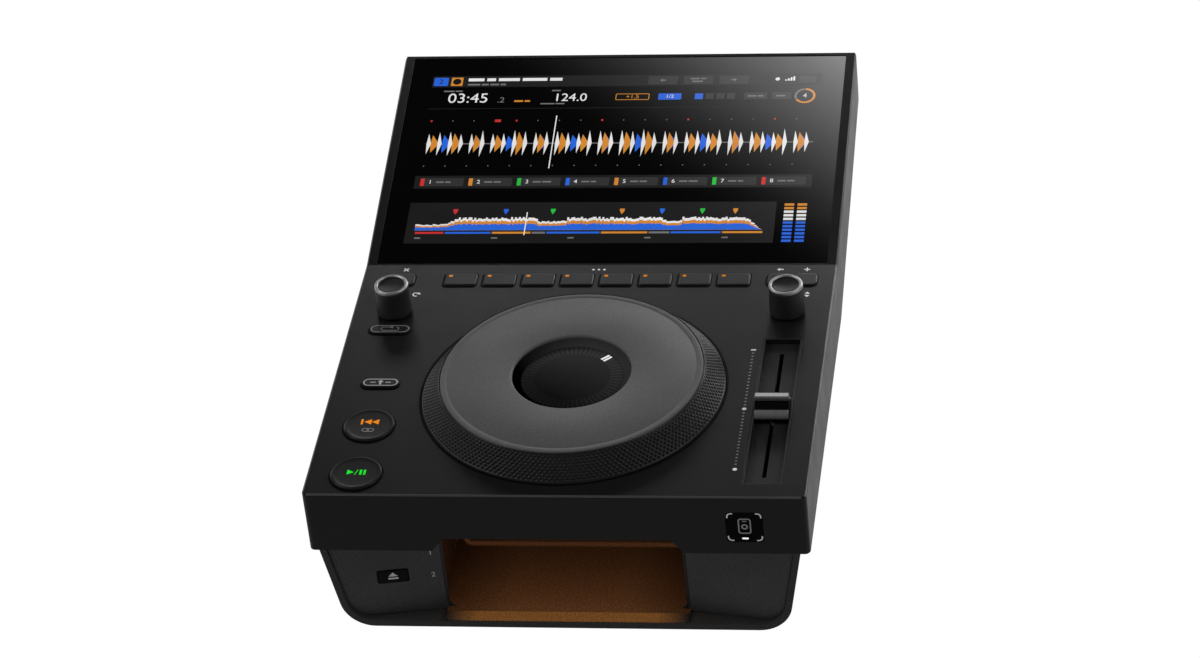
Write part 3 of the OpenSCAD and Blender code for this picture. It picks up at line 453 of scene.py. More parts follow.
def lit(name, color, strength=1.0, gloss=1.0):
    """A light seen through a glossy dark face."""
    material, tree, shader = blank(name, {"Base Color": grey(0.004), "Roughness": 0.12,
                                          "Emission Strength": strength, "Specular IOR Level": gloss})
    lamp = put(tree, "Group", {"Color": color}, node_tree=LAMP)
    tree.links.new(lamp.outputs[0], shader.inputs["Emission Color"])
    return material


# Plastics: colour, roughness, grain per metre, its depth, edge radius, edge wear and painted edge highlight,
# and gloss
SHELL = moulded("charcoal shell", grey(0.0075), 0.36, 2300.0, 0.00003, 0.0005, 0.12, 0.12)
TUB = moulded("tub plastic", grey(0.04), 0.5, 1800.0, 0.00003, 0.0005, 0.2, 0.12)
FRONT_PANEL = moulded("front panel plastic", (0.066, 0.066, 0.068, 1), 0.5, 1800.0, 0.00003, 0.0006, 0.4,
                      0.12)
INNER = moulded("inner plastic", grey(0.012), 0.6)
CHANNEL = moulded("fader channel plastic", grey(0.013), 0.5, 2000.0, 0.00002, 0.0003, 0.25, 0.15)
# Fader cap: near black as painted shade on its hollow flanks; the lips and rail below are lighter copies of
# the same plastic, as painted light
CAP = moulded("fader cap plastic", grey(0.002), 0.5, 2500.0, 0.000008, 0.0003, 0.0, 0.06)
CAP_LIP_PAINTED_LIGHT = moulded("fader cap lips painted light", grey(0.125), 0.45, 2500.0, 0.000008, 0.0003, 0.0, 0.3)
CAP_RAIL_PAINTED_LIGHT = moulded("fader cap rail painted light", grey(0.11), 0.4, 2500.0, 0.000008, 0.0003, 0.2, 0.3)
KEY = moulded("key plastic", grey(0.0105), 0.36, 2600.0, 0.000016, 0.0003, 0.4, 0.14)
EJECT = moulded("eject key plastic", grey(0.003), 0.5, 2600.0, 0.00001, 0.0002, 0.2, 0.06)
KNOB = moulded("knob rubber", grey(0.022), 0.5, 3000.0, 0.000015, 0.0003, 0.3, 0.2)
PLATE = moulded("wheel plate", grey(0.088), 0.55, 2600.0, 0.000014, 0.0003, 0.15, 0.25)
FOOT = moulded("foot rubber", grey(0.012), 0.8, 1500.0, 0.00004)
SOCKET = moulded("socket plastic", grey(0.01), 0.45)
BUSH = moulded("bush plastic", grey(0.55), 0.45)
BOARD = moulded("board lacquer", (0.012, 0.1, 0.035, 1), 0.35, 900.0, 0.00002)
# Lighter grey for the strip along the deck's front edge: a painted highlight
EDGE_HIGHLIGHT = moulded("painted edge highlight", grey(0.05), 0.4, 2500.0, 0.000008, 0.0002, 0.0)
# Metals: tone, roughness, depth of the lines and edge radius
STEEL = metal("plated steel", 0.62, 0.3)
SCREW = metal("blackened screw", 0.06, 0.38)
ALLOY = metal("aluminium", 0.7, 0.35)
TRIM = metal("satin trim", 0.33, 0.45, 0.000004, 0.0003)
SUPPLY = metal("supply can", 0.55, 0.4)
# Glass: tone, roughness, smudges and gloss
GLASS = glossy("screen glass", 0.0008, 0.05, 0.03, 1.0)
TOUCH = glossy("touch window", 0.0006, 0.1, 0.05, 0.03)
DISPLAY = glossy("display back", 0.05, 0.4)
# Print, the black of painted shadows, and lamps
INK = printed("white print", 0.8)
MID_INK = printed("pale print", 0.4)
DIM_INK = printed("grey print", 0.2)
# Black for the painted shadows in the gaps round the keys, the wheel and the eject key
PAINTED_SHADE_BLACK = printed("painted shade black", 0.001, 0.6, 0.05)
LED_ORANGE = lit("orange lamp", (0.9, 0.26, 0.01, 1))
LED_AMBER = lit("amber lamp", (0.62, 0.2, 0.006, 1), gloss=0.05)
LED_GREEN = lit("green lamp", (0.01, 0.8, 0.03, 1))
LED_WHITE = lit("white lamp", grey(0.95))
LED_SOFT = lit("soft white lamp", grey(0.3), gloss=0.1)
LED_DIM = lit("dim white lamp", grey(0.11), gloss=0.1)
BAY_LIGHT = lit("bay lamp", (1.0, 0.42, 0.12, 1), 4.0)
UI = {tone: lit("screen " + tone, color) for tone, color in {
    "panel": grey(0.009), "key": grey(0.03), "line": grey(0.17), "white": grey(0.82), "dark": grey(0.004),
    "orange": (0.66, 0.25, 0.03, 1), "blue": (0.02, 0.13, 0.7, 1), "red": (0.6, 0.03, 0.03, 1),
    "green": (0.02, 0.5, 0.05, 1)}.items()}


def bay_painted_light():
    """Grained brown plastic with painted light as emission, standing for the ceiling lamp's warm light:
    strongest on the sill and falling off towards the back, up the walls and at the sill's ends, where
    the panels' grey takes over; a painted reflection of the lamp lies across the floor near the back."""
    material, tree, shader = blank("bay liner", {"Emission Strength": 1.0, "Roughness": 0.6,
                                                 "Specular IOR Level": 0.15})
    spot = put(tree, "SeparateXYZ", {0: put(tree, "TexCoord").outputs["Object"]}).outputs
    aside = maths(tree, "ABSOLUTE", spot["X"], 0.0)
    mouth, sill_top = (FRONT + 10.5) * MM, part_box("media_bay_liner")[0].z + 1.5 * MM
    # Painted light: the emission is strongest at the mouth and fades towards the back, up the walls and at
    # the sill's ends
    near = maths(tree, "POWER", remap(tree, spot["Y"], mouth, mouth + 0.066, 1.0, 0.0), 2.0)
    floor = times(tree, remap(tree, near, 0.0, 1.0, 0.2, 1.0),
                  remap(tree, aside, 0.03, 0.062, 1.0, 0.35))
    floor = times(tree, floor, remap(tree, spot["Z"], sill_top, sill_top + 0.012, 1.0, 0.3))
    sill = remap(tree, spot["Y"], mouth - 0.0034, mouth - 0.0040, 0.0, 1.0)
    along = remap(tree, aside, 0.046, 0.0625, 1.0, 0.0)
    front_edge = times(tree, remap(tree, spot["Y"], mouth + 0.0004, mouth + 0.0001, 0.0, 1.0),
                       remap(tree, spot["Z"], sill_top, sill_top + 0.0005, 0.0, 1.0))
    grain = noise(tree, 1100.0, 2.0)
    speckle = remap(tree, grain, 0.3, 0.7, 0.6, 1.4)
    painted_bay_light = blended(tree, "MIX", sill, tinted(tree, (0.06, 0.023, 0.0085, 1), floor),
                   tinted(tree, (0.125, 0.05, 0.012, 1), along))
    painted_bay_light = blended(tree, "MIX", front_edge, painted_bay_light, grey(0.0))
    # Painted reflection of the lamp, a faint band across the floor near the back
    behind = maths(tree, "ABSOLUTE", maths(tree, "SUBTRACT", spot["Y"], mouth + 0.0515), 0.0)
    painted_lamp_reflection = remap(tree, behind, 0.0008, 0.0026, 0.85, 0.0)
    painted_bay_light = blended(tree, "MIX", painted_lamp_reflection, painted_bay_light, (0.05, 0.019, 0.0075, 1))
    tree.links.new(tinted(tree, painted_bay_light, speckle), shader.inputs["Emission Color"])
    sill_ends = times(tree, sill, maths(tree, "SUBTRACT", 1.0, along))
    bare = maths(tree, "MAXIMUM", front_edge, sill_ends)
    body = blended(tree, "MIX", bare, (0.03, 0.012, 0.004, 1), grey(0.026))
    tree.links.new(tinted(tree, body, speckle), shader.inputs["Base Color"])
    tree.links.new(bumped(tree, grain, 0.0001, round_edges(tree, 0.0004)), shader.inputs["Normal"])
    return material


def knurled_grip():
    """Rim plastic, black at the bottom of the knurl by the mesh's own pit value: painted shade in the pits.
    """
    material = moulded("wheel rim", grey(0.012), 0.42, 2400.0, 0.000008, 0.0003, 0.2, 0.17)
    tree = material.node_tree
    shader = tree.nodes["Principled BSDF"]
    skin = shader.inputs["Base Color"].links[0].from_socket
    pit = put(tree, "Attribute", attribute_name="pit").outputs["Fac"]
    tree.links.new(blended(tree, "MIX", pit, skin, grey(0.0008)), shader.inputs["Base Color"])
    return material


def dish_painted_shade(name, near, far, roughness, gloss):
    """Dark dish plastic with painted shade and light: darkest at the front left, lighter towards the back
    right.
    """
    material = glossy(name, near, roughness, 0.06, gloss)
    tree = material.node_tree
    spot = put(tree, "SeparateXYZ", {0: put(tree, "TexCoord").outputs["Object"]}).outputs
    across = maths(tree, "ADD", spot["X"], maths(tree, "SUBTRACT", spot["Y"], JOG_Y * MM))
    painted_shade_tone = blended(tree, "MIX", remap(tree, across, -0.024, 0.036, 0.0, 1.0), grey(near), grey(far))
    tree.links.new(painted_shade_tone, tree.nodes["Principled BSDF"].inputs["Base Color"])
    return material


RIM = knurled_grip()
BAY = bay_painted_light()
# Painted shade and light on the dish window, its wall and its segments: darker to the front left, lighter to
# the back right
DISH = dish_painted_shade("dish window", 0.0003, 0.02, 0.28, 0.04)
DISH_WALL = dish_painted_shade("dish wall", 0.0003, 0.044, 0.5, 0.0)
DISH_INK = dish_painted_shade("dish print", 0.005, 0.038, 0.28, 0.04)


def dress(finish, *nodes):
    """Gives CAD nodes their finish."""
    for node in nodes:
        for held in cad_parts[node].material_slots:
            held.material = finish


dress(SHELL, "upper_shell")
dress(TUB, "lower_tub", "rear_panel")
dress(FRONT_PANEL, "front_left_panel", "front_right_panel")
dress(BAY, "media_bay_liner")
dress(BAY_LIGHT, "bay_light_bar")
dress(STEEL, "usb_port_upper", "usb_port_lower", "lan_socket", "left_encoder_shaft", "right_encoder_shaft",
      "encoder_disc", "left_encoder_body", "right_encoder_body", "fader_lever")
dress(CHANNEL, "fader_channel")
dress(TOUCH, "touch_window")
dress(GLASS, "screen_glass")
dress(DISPLAY, "display_panel")
dress(BOARD, "main_board", "control_board")
dress(SUPPLY, "power_supply")
dress(SOCKET, "mains_inlet", "audio_outputs", "tact_switches")
dress(INNER, "jog_bowl", "fader_body")
dress(ALLOY, "jog_post")
dress(DISH, "jog_display")
dress(FOOT, "rubber_feet")
dress(SCREW, "case_screws", "panel_screws")
dress(RIM, "jog_ring")
dress(PLATE, "jog_plate")
dress(BUSH, "jog_bearing", "left_encoder_sleeve", "right_encoder_sleeve")
dress(CAP, "fader_cap")
dress(EJECT, "eject_button")
dress(KNOB, "left_knob", "right_knob")
dress(TRIM, "left_knob_trim", "right_knob_trim")
dress(KEY, "cue_button", "play_button", "shift_button", "loop_button", "delete_button", "back_button",
      "tag_button", "power_button", *PADS)


# Wheel

def smooth_step(x):
    """Runs from 0 to 1 with level ends."""
    x = np.clip(x, 0, 1)
    return x * x * (3 - 2 * x)


def knurled_rim():
    """Wheel ring: the CAD ring's section turned about the axis. Its slope is pitted in a staggered
    lattice: the pits lie where a cosine round the wheel times one up the slope is high."""
    foot, lip = np.array([78.9, 0.3]), np.array([68.6, 11.9])
    length = np.linalg.norm(lip - foot)
    along, out = (lip - foot) / length, np.array([lip[1] - foot[1], foot[0] - lip[0]]) / length
    before = np.array([[76.4, -0.9], [76.4, -7], [78.9, -7], [78.9, -0.3], [78.84, 0.2]])
    after = np.array([[68.63, 11.8], [68.6, 11.5], [68.6, 9.9], [33.3, 9.9], [33.3, -1], [19.05, -1],
                      [19.05, -16], [21.55, -16], [21.55, -3.5], [35.8, -3.5], [35.8, 7.4], [65.8, 7.4]])
    pits_round, row_pitch, depth = 180, 1.6, 0.5
    s = np.linspace(0.45, length - 0.4, 60)
    turn = np.linspace(0, 2 * math.pi, 6 * pits_round, endpoint=False)
    lattice = np.cos(pits_round * turn) * np.cos(math.pi * s / row_pitch)[:, None]
    inside = smooth_step((s - 0.7) / 0.8) * smooth_step((length - 0.8 - s) / 0.8)
    pit = np.clip(lattice, 0, 1) ** 0.75 * inside[:, None]
    slope = foot + s[:, None, None] * along - depth * pit[..., None] * out
    spread = [np.repeat(part[:, None], len(turn), 1) for part in (before, after)]
    section = np.concatenate([spread[0], slope, spread[1]])
    points = np.stack([section[..., 0] * np.cos(turn), JOG_Y + section[..., 0] * np.sin(turn),
                       DECK + section[..., 1]], -1)
    faces = grid_faces(len(section), len(turn), True).tolist()
    rim = make("wheel_rim_knurled", points, faces, RIM, "jog_wheel", "jog_ring", 40, ["jog_ring"])
    value = np.zeros((len(section), len(turn)))
    value[len(before):len(before) + len(s)] = pit
    # The pit value also paints shade into the pits through the rim's colour
    rim.data.attributes.new("pit", "FLOAT", "POINT").data.foreach_set("value", value.ravel())


def touch_plate():
    """Touch plate: the CAD plate's section with soft edges and a shallow groove near its outside."""
    section = [(68.3, 9.95), (68.3, 11.2), (68.15, 11.65), (67.8, 11.97), (67.3, 12.1), (65.1, 12.1),
               (64.9, 11.97), (64.65, 11.9), (64.4, 11.97), (64.2, 12.1), (32.1, 12.1), (31.5, 11.9),
               (31.0, 11.4), (30.8, 10.9), (30.8, 9.95)]
    turned("wheel_plate_soft", section, 0, JOG_Y, PLATE, "jog_wheel", "jog_plate", 192, 50, ["jog_plate"],
           True)


def dish_height(r):
    """Height over the deck: the dish's floor is a very flat dome, and its wall rises from it ever more
    steeply."""
    r = np.asarray(r)
    return 8.5 - 0.6 * (r / 27) ** 2 + 2.9 * np.clip((r - 27) / 3.6, 0, 1) ** 2


def wheel_middle():
    """Fixed dish in the wheel with its wall, its ring of sixty segments and the bright position mark."""
    floor, wall = np.linspace(26.8, 0.5, 32), np.linspace(30.6, 26.5, 18)
    turned("wheel_dish", [(30.3, 0.2), (26.8, 7), *zip(floor, dish_height(floor))], 0, JOG_Y, DISH,
           "casing", "jog_display", stands_for=["jog_display"])
    turned("wheel_dish_wall", [(30.3, 7.6), (30.5, 9.3), *zip(wall, dish_height(wall)), (26.5, 7.6)],
           0, JOG_Y, DISH_WALL, "casing", "jog_display", closed=True)

    def on_dish(flat, lift):
        r = np.hypot(flat[:, 0], flat[:, 1])
        return np.column_stack([flat[:, 0], JOG_Y + flat[:, 1], DECK + dish_height(r) + lift])

    ring = [arc(0, 0, 22.9, 6.2, a, a + 3.6, 4) for a in np.arange(60) * 6.0]
    marks("dish_segments", ring, on_dish, DISH_INK, slot="jog_display", lift=0.06)
    beam, faces = bars([[20.2, side, 25.6, side + 1.3] for side in (-1.6, 0.25)])
    marks("dish_position_mark", [(spun(beam, 46), faces)], on_dish, LED_WHITE, slot="jog_display", lift=0.12)


# Fader, knobs and keys

def drawn_across(section, x0, y0, half, edge=0.45):
    """A section of (y, height) points carried across from side to side; near both ends it is drawn in
    along its own normals by a quarter circle, for a soft edge."""
    tangent = np.roll(section, -1, 0) - np.roll(section, 1, 0)
    normal = np.column_stack([tangent[:, 1], -tangent[:, 0]]) / np.linalg.norm(tangent, axis=1)[:, None]
    ends = soft_edge(edge, half)
    stations = [(d, -x) for d, x in ends[::-1]] + ends
    return stacked([np.column_stack([np.full(len(section), x0 + x), section - d * normal + (y0, DECK)])
                    for d, x in stations])


def fader_cap():
    """Fader cap: a ridge between two hollow flanks that are arcs of a circle; a lip that is part of an
    ellipse stands at the foot of each flank, a soft-edged rail caps the ridge, and the pointer line runs
    along it."""
    half, ridge, top, lip, low, edge = 7.5, 1.9, 9.6, 2.0, -2.6, 0.7
    reach, dip = half - ridge, top - edge - lip
    dip_r = (reach ** 2 + dip ** 2) / (2 * reach)
    x0, y0, _ = middle("fader_cap")

    def flank(y):
        return np.column_stack([y, top - edge - np.sqrt(dip_r ** 2 - (ridge + dip_r - y) ** 2)])

    right = np.concatenate([[[half - 0.3, low], [half, low + 0.3], [half, lip - 0.35]],
                            flank(np.linspace(half - 0.35, ridge + 0.05, 22)),
                            [[ridge - 0.12, top - 0.3], [ridge - 0.6, top - 0.05]]])
    section = np.concatenate([right, right[::-1] * (-1, 1)])
    make("fader_cap_soft", *drawn_across(section, x0, y0, 8.8), CAP, "tempo_fader", "cap", 30, ["fader_cap"])
    turn = np.linspace(math.pi / 2, -0.6, 18)
    lip_bar = np.column_stack([5.4 + 2.9 * np.sin(turn), 0.3 + 3.2 * np.cos(turn)])
    lip_bar = np.concatenate([[[8.1, -0.1]], lip_bar, [[3.8, -0.1]]])
    for name, shape in (("rear", lip_bar), ("front", lip_bar[::-1] * (-1, 1))):
        # The lips take a lighter copy of the cap's plastic: painted light
        make("fader_cap_lip_" + name, *drawn_across(shape, x0, y0, 8.7), CAP_LIP_PAINTED_LIGHT, "tempo_fader", "cap", 40)
    turn = np.linspace(math.pi / 2, 0, 8)
    rail = np.column_stack([ridge - 0.4 + 0.7 * np.sin(turn), top - 1.1 + 1.1 * np.cos(turn)])
    rail = np.concatenate([[[ridge + 0.3, 7.4]], rail])
    rail = np.concatenate([rail, rail[::-1] * (-1, 1)])
    # The rail takes a lighter copy of the cap's plastic: painted light
    make("fader_cap_rail", *drawn_across(rail, x0, y0, 8.82), CAP_RAIL_PAINTED_LIGHT, "tempo_fader", "cap", 40)
    marks("fader_cap_line", [bars([-8.3, -1.4, 8.3, 1.4])], on_top(DECK + top, "fader_cap"), MID_INK,
          "tempo_fader", "cap")


def push_knob(knob):
    """Knob: a slightly waisted body with soft edges, a hollow top, part of a sphere, behind a thin collar,
    and the satin ring round it, half round on top."""
    x, y, _ = middle(knob + "_trim")
    z = np.linspace(3.0, 16.0, 10)
    waist = 9.02 + 0.42 * ((16 - z) / 13) ** 1.5
    body = [(9.0, 1.2), (9.35, 1.35), (9.47, 1.7), *zip(waist, z), (8.9, 16.45), (8.6, 16.6), (7.0, 16.6),
            (7.0, 18.0), (6.9, 18.12), (6.65, 18.12), (6.55, 18.0), (6.5, 17.0)]
    bowl, bowl_low, bowl_r = np.linspace(6.4, 0.3, 12), 16.0, 22.0
    body += list(zip(bowl, bowl_low + bowl_r - np.sqrt(bowl_r ** 2 - bowl ** 2)))
    turned(knob + "_body", body, x, y, KNOB, knob, "knob", 96, 40, [knob])
    turn = np.linspace(0, math.pi, 15)
    ring = [(7.1, 16.65), (9.04, 16.65), *zip(8.07 + 0.97 * np.cos(turn), 17.43 + 0.97 * np.sin(turn))]
    turned(knob + "_ring", ring, x, y, TRIM, knob, "trim", 96, 30, [knob + "_trim"], True)


knurled_rim()
touch_plate()
wheel_middle()
fader_cap()
push_knob("left_knob")
push_knob("right_knob")
for number, pad in enumerate(PADS, 1):
    key_cap(pad, 17.6, 11.1, 1.6, PAD_TOP, "pad", LONG_FLANGE, edge=0.9)
    marks("pad_lamp_%d" % number, [tablet(-5.7, 2.9, 2.1, 1.7, 0.5)], on_top(PAD_TOP, pad), LED_AMBER,
          pad, "pad")
for name in ("delete_button", "back_button", "tag_button"):
    key_cap(name, 12.4, 11.1, 3.0, PAD_TOP, "button", LONG_FLANGE, edge=0.9)
key_cap("loop_button", 22, 7.5, 3.74, PAD_TOP, "button", LONG_FLANGE)
key_cap("shift_button", 19.8, 7.5, 3.74, BUTTON_TOP, "button", LONG_FLANGE, edge=0.9)
for name in ("cue_button", "play_button"):
    key_cap(name, 26.7, 26.7, 13.34, BUTTON_TOP, "button", ROUND_FLANGE, KEY_DISH, 1.0)


# Printed and lit marks, painted shadows and a painted highlight

def key_marks():
    """Signs on the keys, drawn from each key's middle: back to a point, play and pause, up arrow, loop."""
    def sign(name, shapes, z, finish, key):
        marks(name, shapes, on_top(z, key), finish, key, "button")

    dished = BUTTON_TOP - KEY_DISH
    back = [bars([-4.6, 0.2, -3.5, 4.6]), polygon((-2.9, 2.4), (0.9, 0.2), (0.9, 4.6)),
            polygon((1.0, 2.4), (4.8, 0.2), (4.8, 4.6))]
    sign("cue_sign", back, dished, LED_ORANGE, "cue_button")
    sign("cue_ring", [outline(0, -4.4, 6.4, 3.0, 1.49, 0.5), dots([(0, -4.4)], 0.7)], dished, DIM_INK,
         "cue_button")
    go = [polygon((-4.8, -1.6), (-1.2, 0.4), (-4.8, 2.4)),
          polygon((-0.9, -1.6), (-0.4, -1.6), (0.9, 2.4), (0.4, 2.4)),
          bars([[1.7, -1.6, 2.9, 2.4], [3.7, -1.6, 4.9, 2.4]])]
    sign("play_pause_sign", go, dished, LED_GREEN, "play_button")
    up = [outline(0, 0, 18.2, 5.9, 2.94, 0.55), arrow(0, 0, 3.4, 4.0),
          bars([[-5.4, -0.3, -2.6, 0.3], [2.6, -0.3, 5.4, 0.3]])]
    sign("shift_outline", up, BUTTON_TOP, MID_INK, "shift_button")
    loop = [outline(0, 0, 20.6, 6.1, 3.04, 0.5), arc(-3.2, 0, 1.5, 0.45, 90, 270, 16),
            arc(3.2, 0, 1.5, 0.45, -90, 90, 16), polygon((-0.6, 1.5), (1.4, 0.4), (1.4, 2.6)),
            bars([[-3.2, -1.73, 3.2, -1.27], [-3.2, 1.27, -0.4, 1.73]])]
    sign("loop_outline", loop, PAD_TOP, DIM_INK, "loop_button")


def deck_marks():
    """Fader scale of fine dashes with an end line, a middle dot and an end dot, small signs behind the keys
    and by the knobs, black rings in the gaps round wheel and keys as painted shadow, and a lighter strip
    along the deck's front edge as a painted highlight."""
    x, low, mid, high = 90.2, -157.5, -107.4, -56.7
    rows = np.concatenate([np.linspace(low + 4.2, mid - 3.4, 17), np.linspace(mid + 3.4, high - 2.8, 17)])
    dash = np.column_stack([0 * rows + x - 0.55, rows - 0.35, 0 * rows + x + 0.55, rows + 0.35])
    marks("fader_scale_dashes", [bars(dash)], on_top(DECK), DIM_INK)
    ends = [dots([(x, low), (x, mid)], 1.15), bars([x - 1.3, high - 0.55, x + 1.3, high + 0.55])]
    marks("fader_scale_ends", ends, on_top(DECK), INK)
    delete, back, tag = (middle(key)[0] for key in ("delete_button", "back_button", "tag_button"))
    y = 15.6
    stroke = np.array([[-1.5, -1.0], [-1.0, -1.5], [1.5, 1.0], [1.0, 1.5]])
    cross = [polygon(*(part + (delete, y))) for part in (stroke, stroke[::-1] * (-1, 1))]
    plus = [bars([[tag - 1.6, y - 0.35, tag + 1.6, y + 0.35], [tag - 0.35, y - 1.6, tag + 0.35, y + 1.6]])]
    turn = [arc(-96.4, -7.2, 1.5, 0.6, 30, 300, 24), polygon((-96.0, -7.0), (-93.6, -7.0), (-94.8, -5.4)),
            polygon((112.6, -6.6), (115.4, -6.6), (114.0, -4.8)),
            polygon((114.0, -9.6), (115.4, -7.8), (112.6, -7.8))]
    small = [arrow(back, y, 2.6, 3.6, 90), dots([(-3, y), (0, y), (3, y)], 0.7)]
    marks("key_signs", cross + plus + turn + small, on_top(DECK), INK)
    # Black rings round the keys and the wheel: painted shadow in their gaps
    marks("deck_gap_shadows", gap_shadows + [arc(0, JOG_Y, 79.7, 1.2, 0, 360, 181)], on_top(DECK), PAINTED_SHADE_BLACK)
    # A lighter strip along the deck's front edge: a painted highlight
    edge = np.array([[-0.03, -0.8], [0.3, -0.8], [0.8, -0.3], [0.8, 0.03], [0.5, 0.02], [0.2, -0.1],
                     [0.03, -0.4]])
    make("deck_front_edge_highlight", *drawn_across(edge, 0, FRONT, 125.5, 0.02), EDGE_HIGHLIGHT, "casing", "shell")


def touch_marks():
    """Corner brackets, a plain outlined tablet and a small lit dash on the touch window."""
    bracket = [arc(6.6, 6.6, 1.9, 0.7, 0, 90, 12), bars([[5.7, 8.15, 6.6, 8.85], [8.15, 5.7, 8.85, 6.6]])]
    corners = [(spun(flat, turn), faces) for turn in (0, 90, 180, 270) for flat, faces in bracket]
    marks("touch_corners", corners, on_window, LED_SOFT, slot="touch")
    sign = [outline(0, 0.6, 6.6, 9.6, 1.5, 0.7), bars([-1.1, 3.4, 1.1, 4.0]),
            arc(0, 0.2, 1.3, 0.8, 0, 360, 24)]
    marks("touch_tablet", sign, on_window, LED_DIM, slot="touch")
    marks("touch_lamp", [tablet(0, -7.2, 3.4, 1.1, 0.54)], on_window, LED_WHITE, slot="touch")


def panel_marks():
    """Socket numbers on the turned left front panel, the eject sign on its key and the shade round it."""
    turn, x, outer_end, set_back = math.radians(9.175), -88.4, -119.54, 1.4
    across = np.array([math.cos(turn), math.sin(turn), 0])
    out = np.array([math.sin(turn), -math.cos(turn), 0])
    start = np.array([x, FRONT + set_back + (x - outer_end) * math.tan(turn), middle("eject_button")[2]])

    def on_panel(flat, lift):
        return start + flat[:, :1] * across + flat[:, 1:] * (0, 0, 1) + lift * out

    marks("socket_figures", [figures("1", 4.4, 20.6, 13.0), figures("2", 4.4, 20.6, -1.4)], on_panel, INK,
          slot="front_panel")
    # A black outline round the eject key, as painted shade in its gap
    marks("eject_shade", [outline(0, 0, 16.5, 8.6, 1.0, 0.6)], on_panel, PAINTED_SHADE_BLACK, slot="front_panel")
    eject = [polygon((-2.6, 0.1), (2.6, 0.1), (0, 2.5)), bars([-2.6, -1.7, 2.6, -0.7])]
    marks("eject_sign", eject, on_panel, INK, "eject_button", "button", 0.45)


def rear_marks():
    """Plain print on the rear panel: ON and OFF by the power button, figures by the two outlets and a frame
    round the pair, an arrow by the network socket, and a line along the panel's top."""
    y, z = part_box("rear_panel")[1].y / MM, middle("rear_panel")[2]

    def on_back(flat, lift):
        return np.column_stack([-flat[:, 0], np.full(len(flat), y + lift), z + flat[:, 1]])

    plain = [figures("ON", 3.4, 22, 11.4), figures("OFF", 3.4, 22, -11.4), figures("1", 3.4, -52, 10.4),
             figures("2", 3.4, -72, 10.4), outline(-62, 0, 36, 16, 2.0, 0.4), arrow(-14, 11.4, 3.0, 3.6),
             bars([-85, 17.6, 85, 18.0])]
    marks("rear_print", plain, on_back, MID_INK, slot="tub")


key_marks()
deck_marks()
touch_marks()
rear_marks()
panel_marks()


# Lit screen: a plain design of bars, figures and waves, in millimetres from the glass's middle

def kites(x, y, before, after, height):
    """Spikes of a beat round a level line: each is a kite, steep before its peak and long after it, given
    by its left, low, right and high corner."""
    flat = np.stack([np.stack([x - before, 0 * x + y], -1), np.stack([x, y - height], -1),
                     np.stack([x + after, 0 * x + y], -1), np.stack([x, y + height], -1)], 1).reshape(-1, 2)
    return flat, np.arange(len(flat)).reshape(-1, 4)


def words(x, y, widths, height):
    """A line of plain bars in place of words, seven tenths of a bar's height apart."""
    left = x + np.cumsum([0, *widths[:-1]]) + 0.7 * height * np.arange(len(widths))
    return bars([[a, y - height / 2, a + w, y + height / 2] for a, w in zip(left, widths)])


def status_rows(on):
    """Plain strips behind the rows, the status bar, and the row of time, tempo and small tablets."""
    on["panel"] += [bars([[-109.9, 56.8, 109.9, 65.6], [-109.9, 39.4, 109.9, 39.9],
                          [-109.9, -22.6, 109.9, -12.8], [-109.9, -64.2, 92.0, -33.4]])]
    on["blue"] += [tablet(-105.0, 61.2, 8.2, 6.6, 0.8), tablet(26, 48.2, 13, 5.0, 0.8),
                   bars([40, 45.9, 44.6, 50.5])]
    on["orange"] += [bars([-99.2, 57.9, -92.6, 64.5]), outline(5, 48.2, 19, 5.0, 0.9, 0.45),
                     figures("+1.5", 4.2, 5, 48.2), arc(101.5, 48.0, 5.2, 1.3, -150, 90, 40),
                     words(-61.5, 45.4, (5, 3), 1.3)]
    on["dark"] += [dots([(-95.9, 61.2)], 2.4, 24), figures("2", 5.0, -105.0, 61.2)]
    on["white"] += [words(-89.5, 62.6, (9, 5, 12, 14, 7), 2.3), figures("03:45", 10.5, -88, 47.6),
                    figures("124.0", 8.6, -30, 47.8), figures("4", 4.6, 101.5, 48.0),
                    figures("1/2", 3.6, 26, 48.2), dots([(85.4, 61.4)], 1.3),
                    bars([[89.6 + 1.5 * i, 60.0, 90.6 + 1.5 * i, 61.0 + 0.8 * i] for i in range(4)])]
    on["line"] += [words(-89.5, 58.8, (7, 4, 5, 3), 1.3), figures(".2", 6.0, -69.2, 46.2),
                   words(-102.5, 53.6, (6, 4), 1.0), words(-41, 53.6, (5,), 1.0),
                   words(-46.5, 43.2, (8, 5), 0.9), arc(101.5, 48.0, 5.2, 1.3, 96, 204, 30),
                   arrow(21, 61.2, 2.6, 3.2, 90), arrow(61, 61.2, 2.6, 3.2, -90),
                   words(36.5, 62.3, (5, 3), 1.1), words(37.5, 60.1, (6,), 1.1),
                   words(69.6, 48.2, (5, 3), 1.1), words(85.6, 48.2, (5,), 1.1)]
    on["key"] += [tablet(x, 61.2, 16.5, 6.6, 0.8) for x in (21, 41, 61)]
    on["key"] += [tablet(102.4, 61.2, 9.5, 5.4, 0.6), tablet(74, 48.2, 13, 5.4, 0.7),
                  tablet(88.5, 48.2, 11, 5.4, 0.7),
                  bars([[40 + 6 * i, 45.9, 44.6 + 6 * i, 50.5] for i in (1, 2, 3)])]


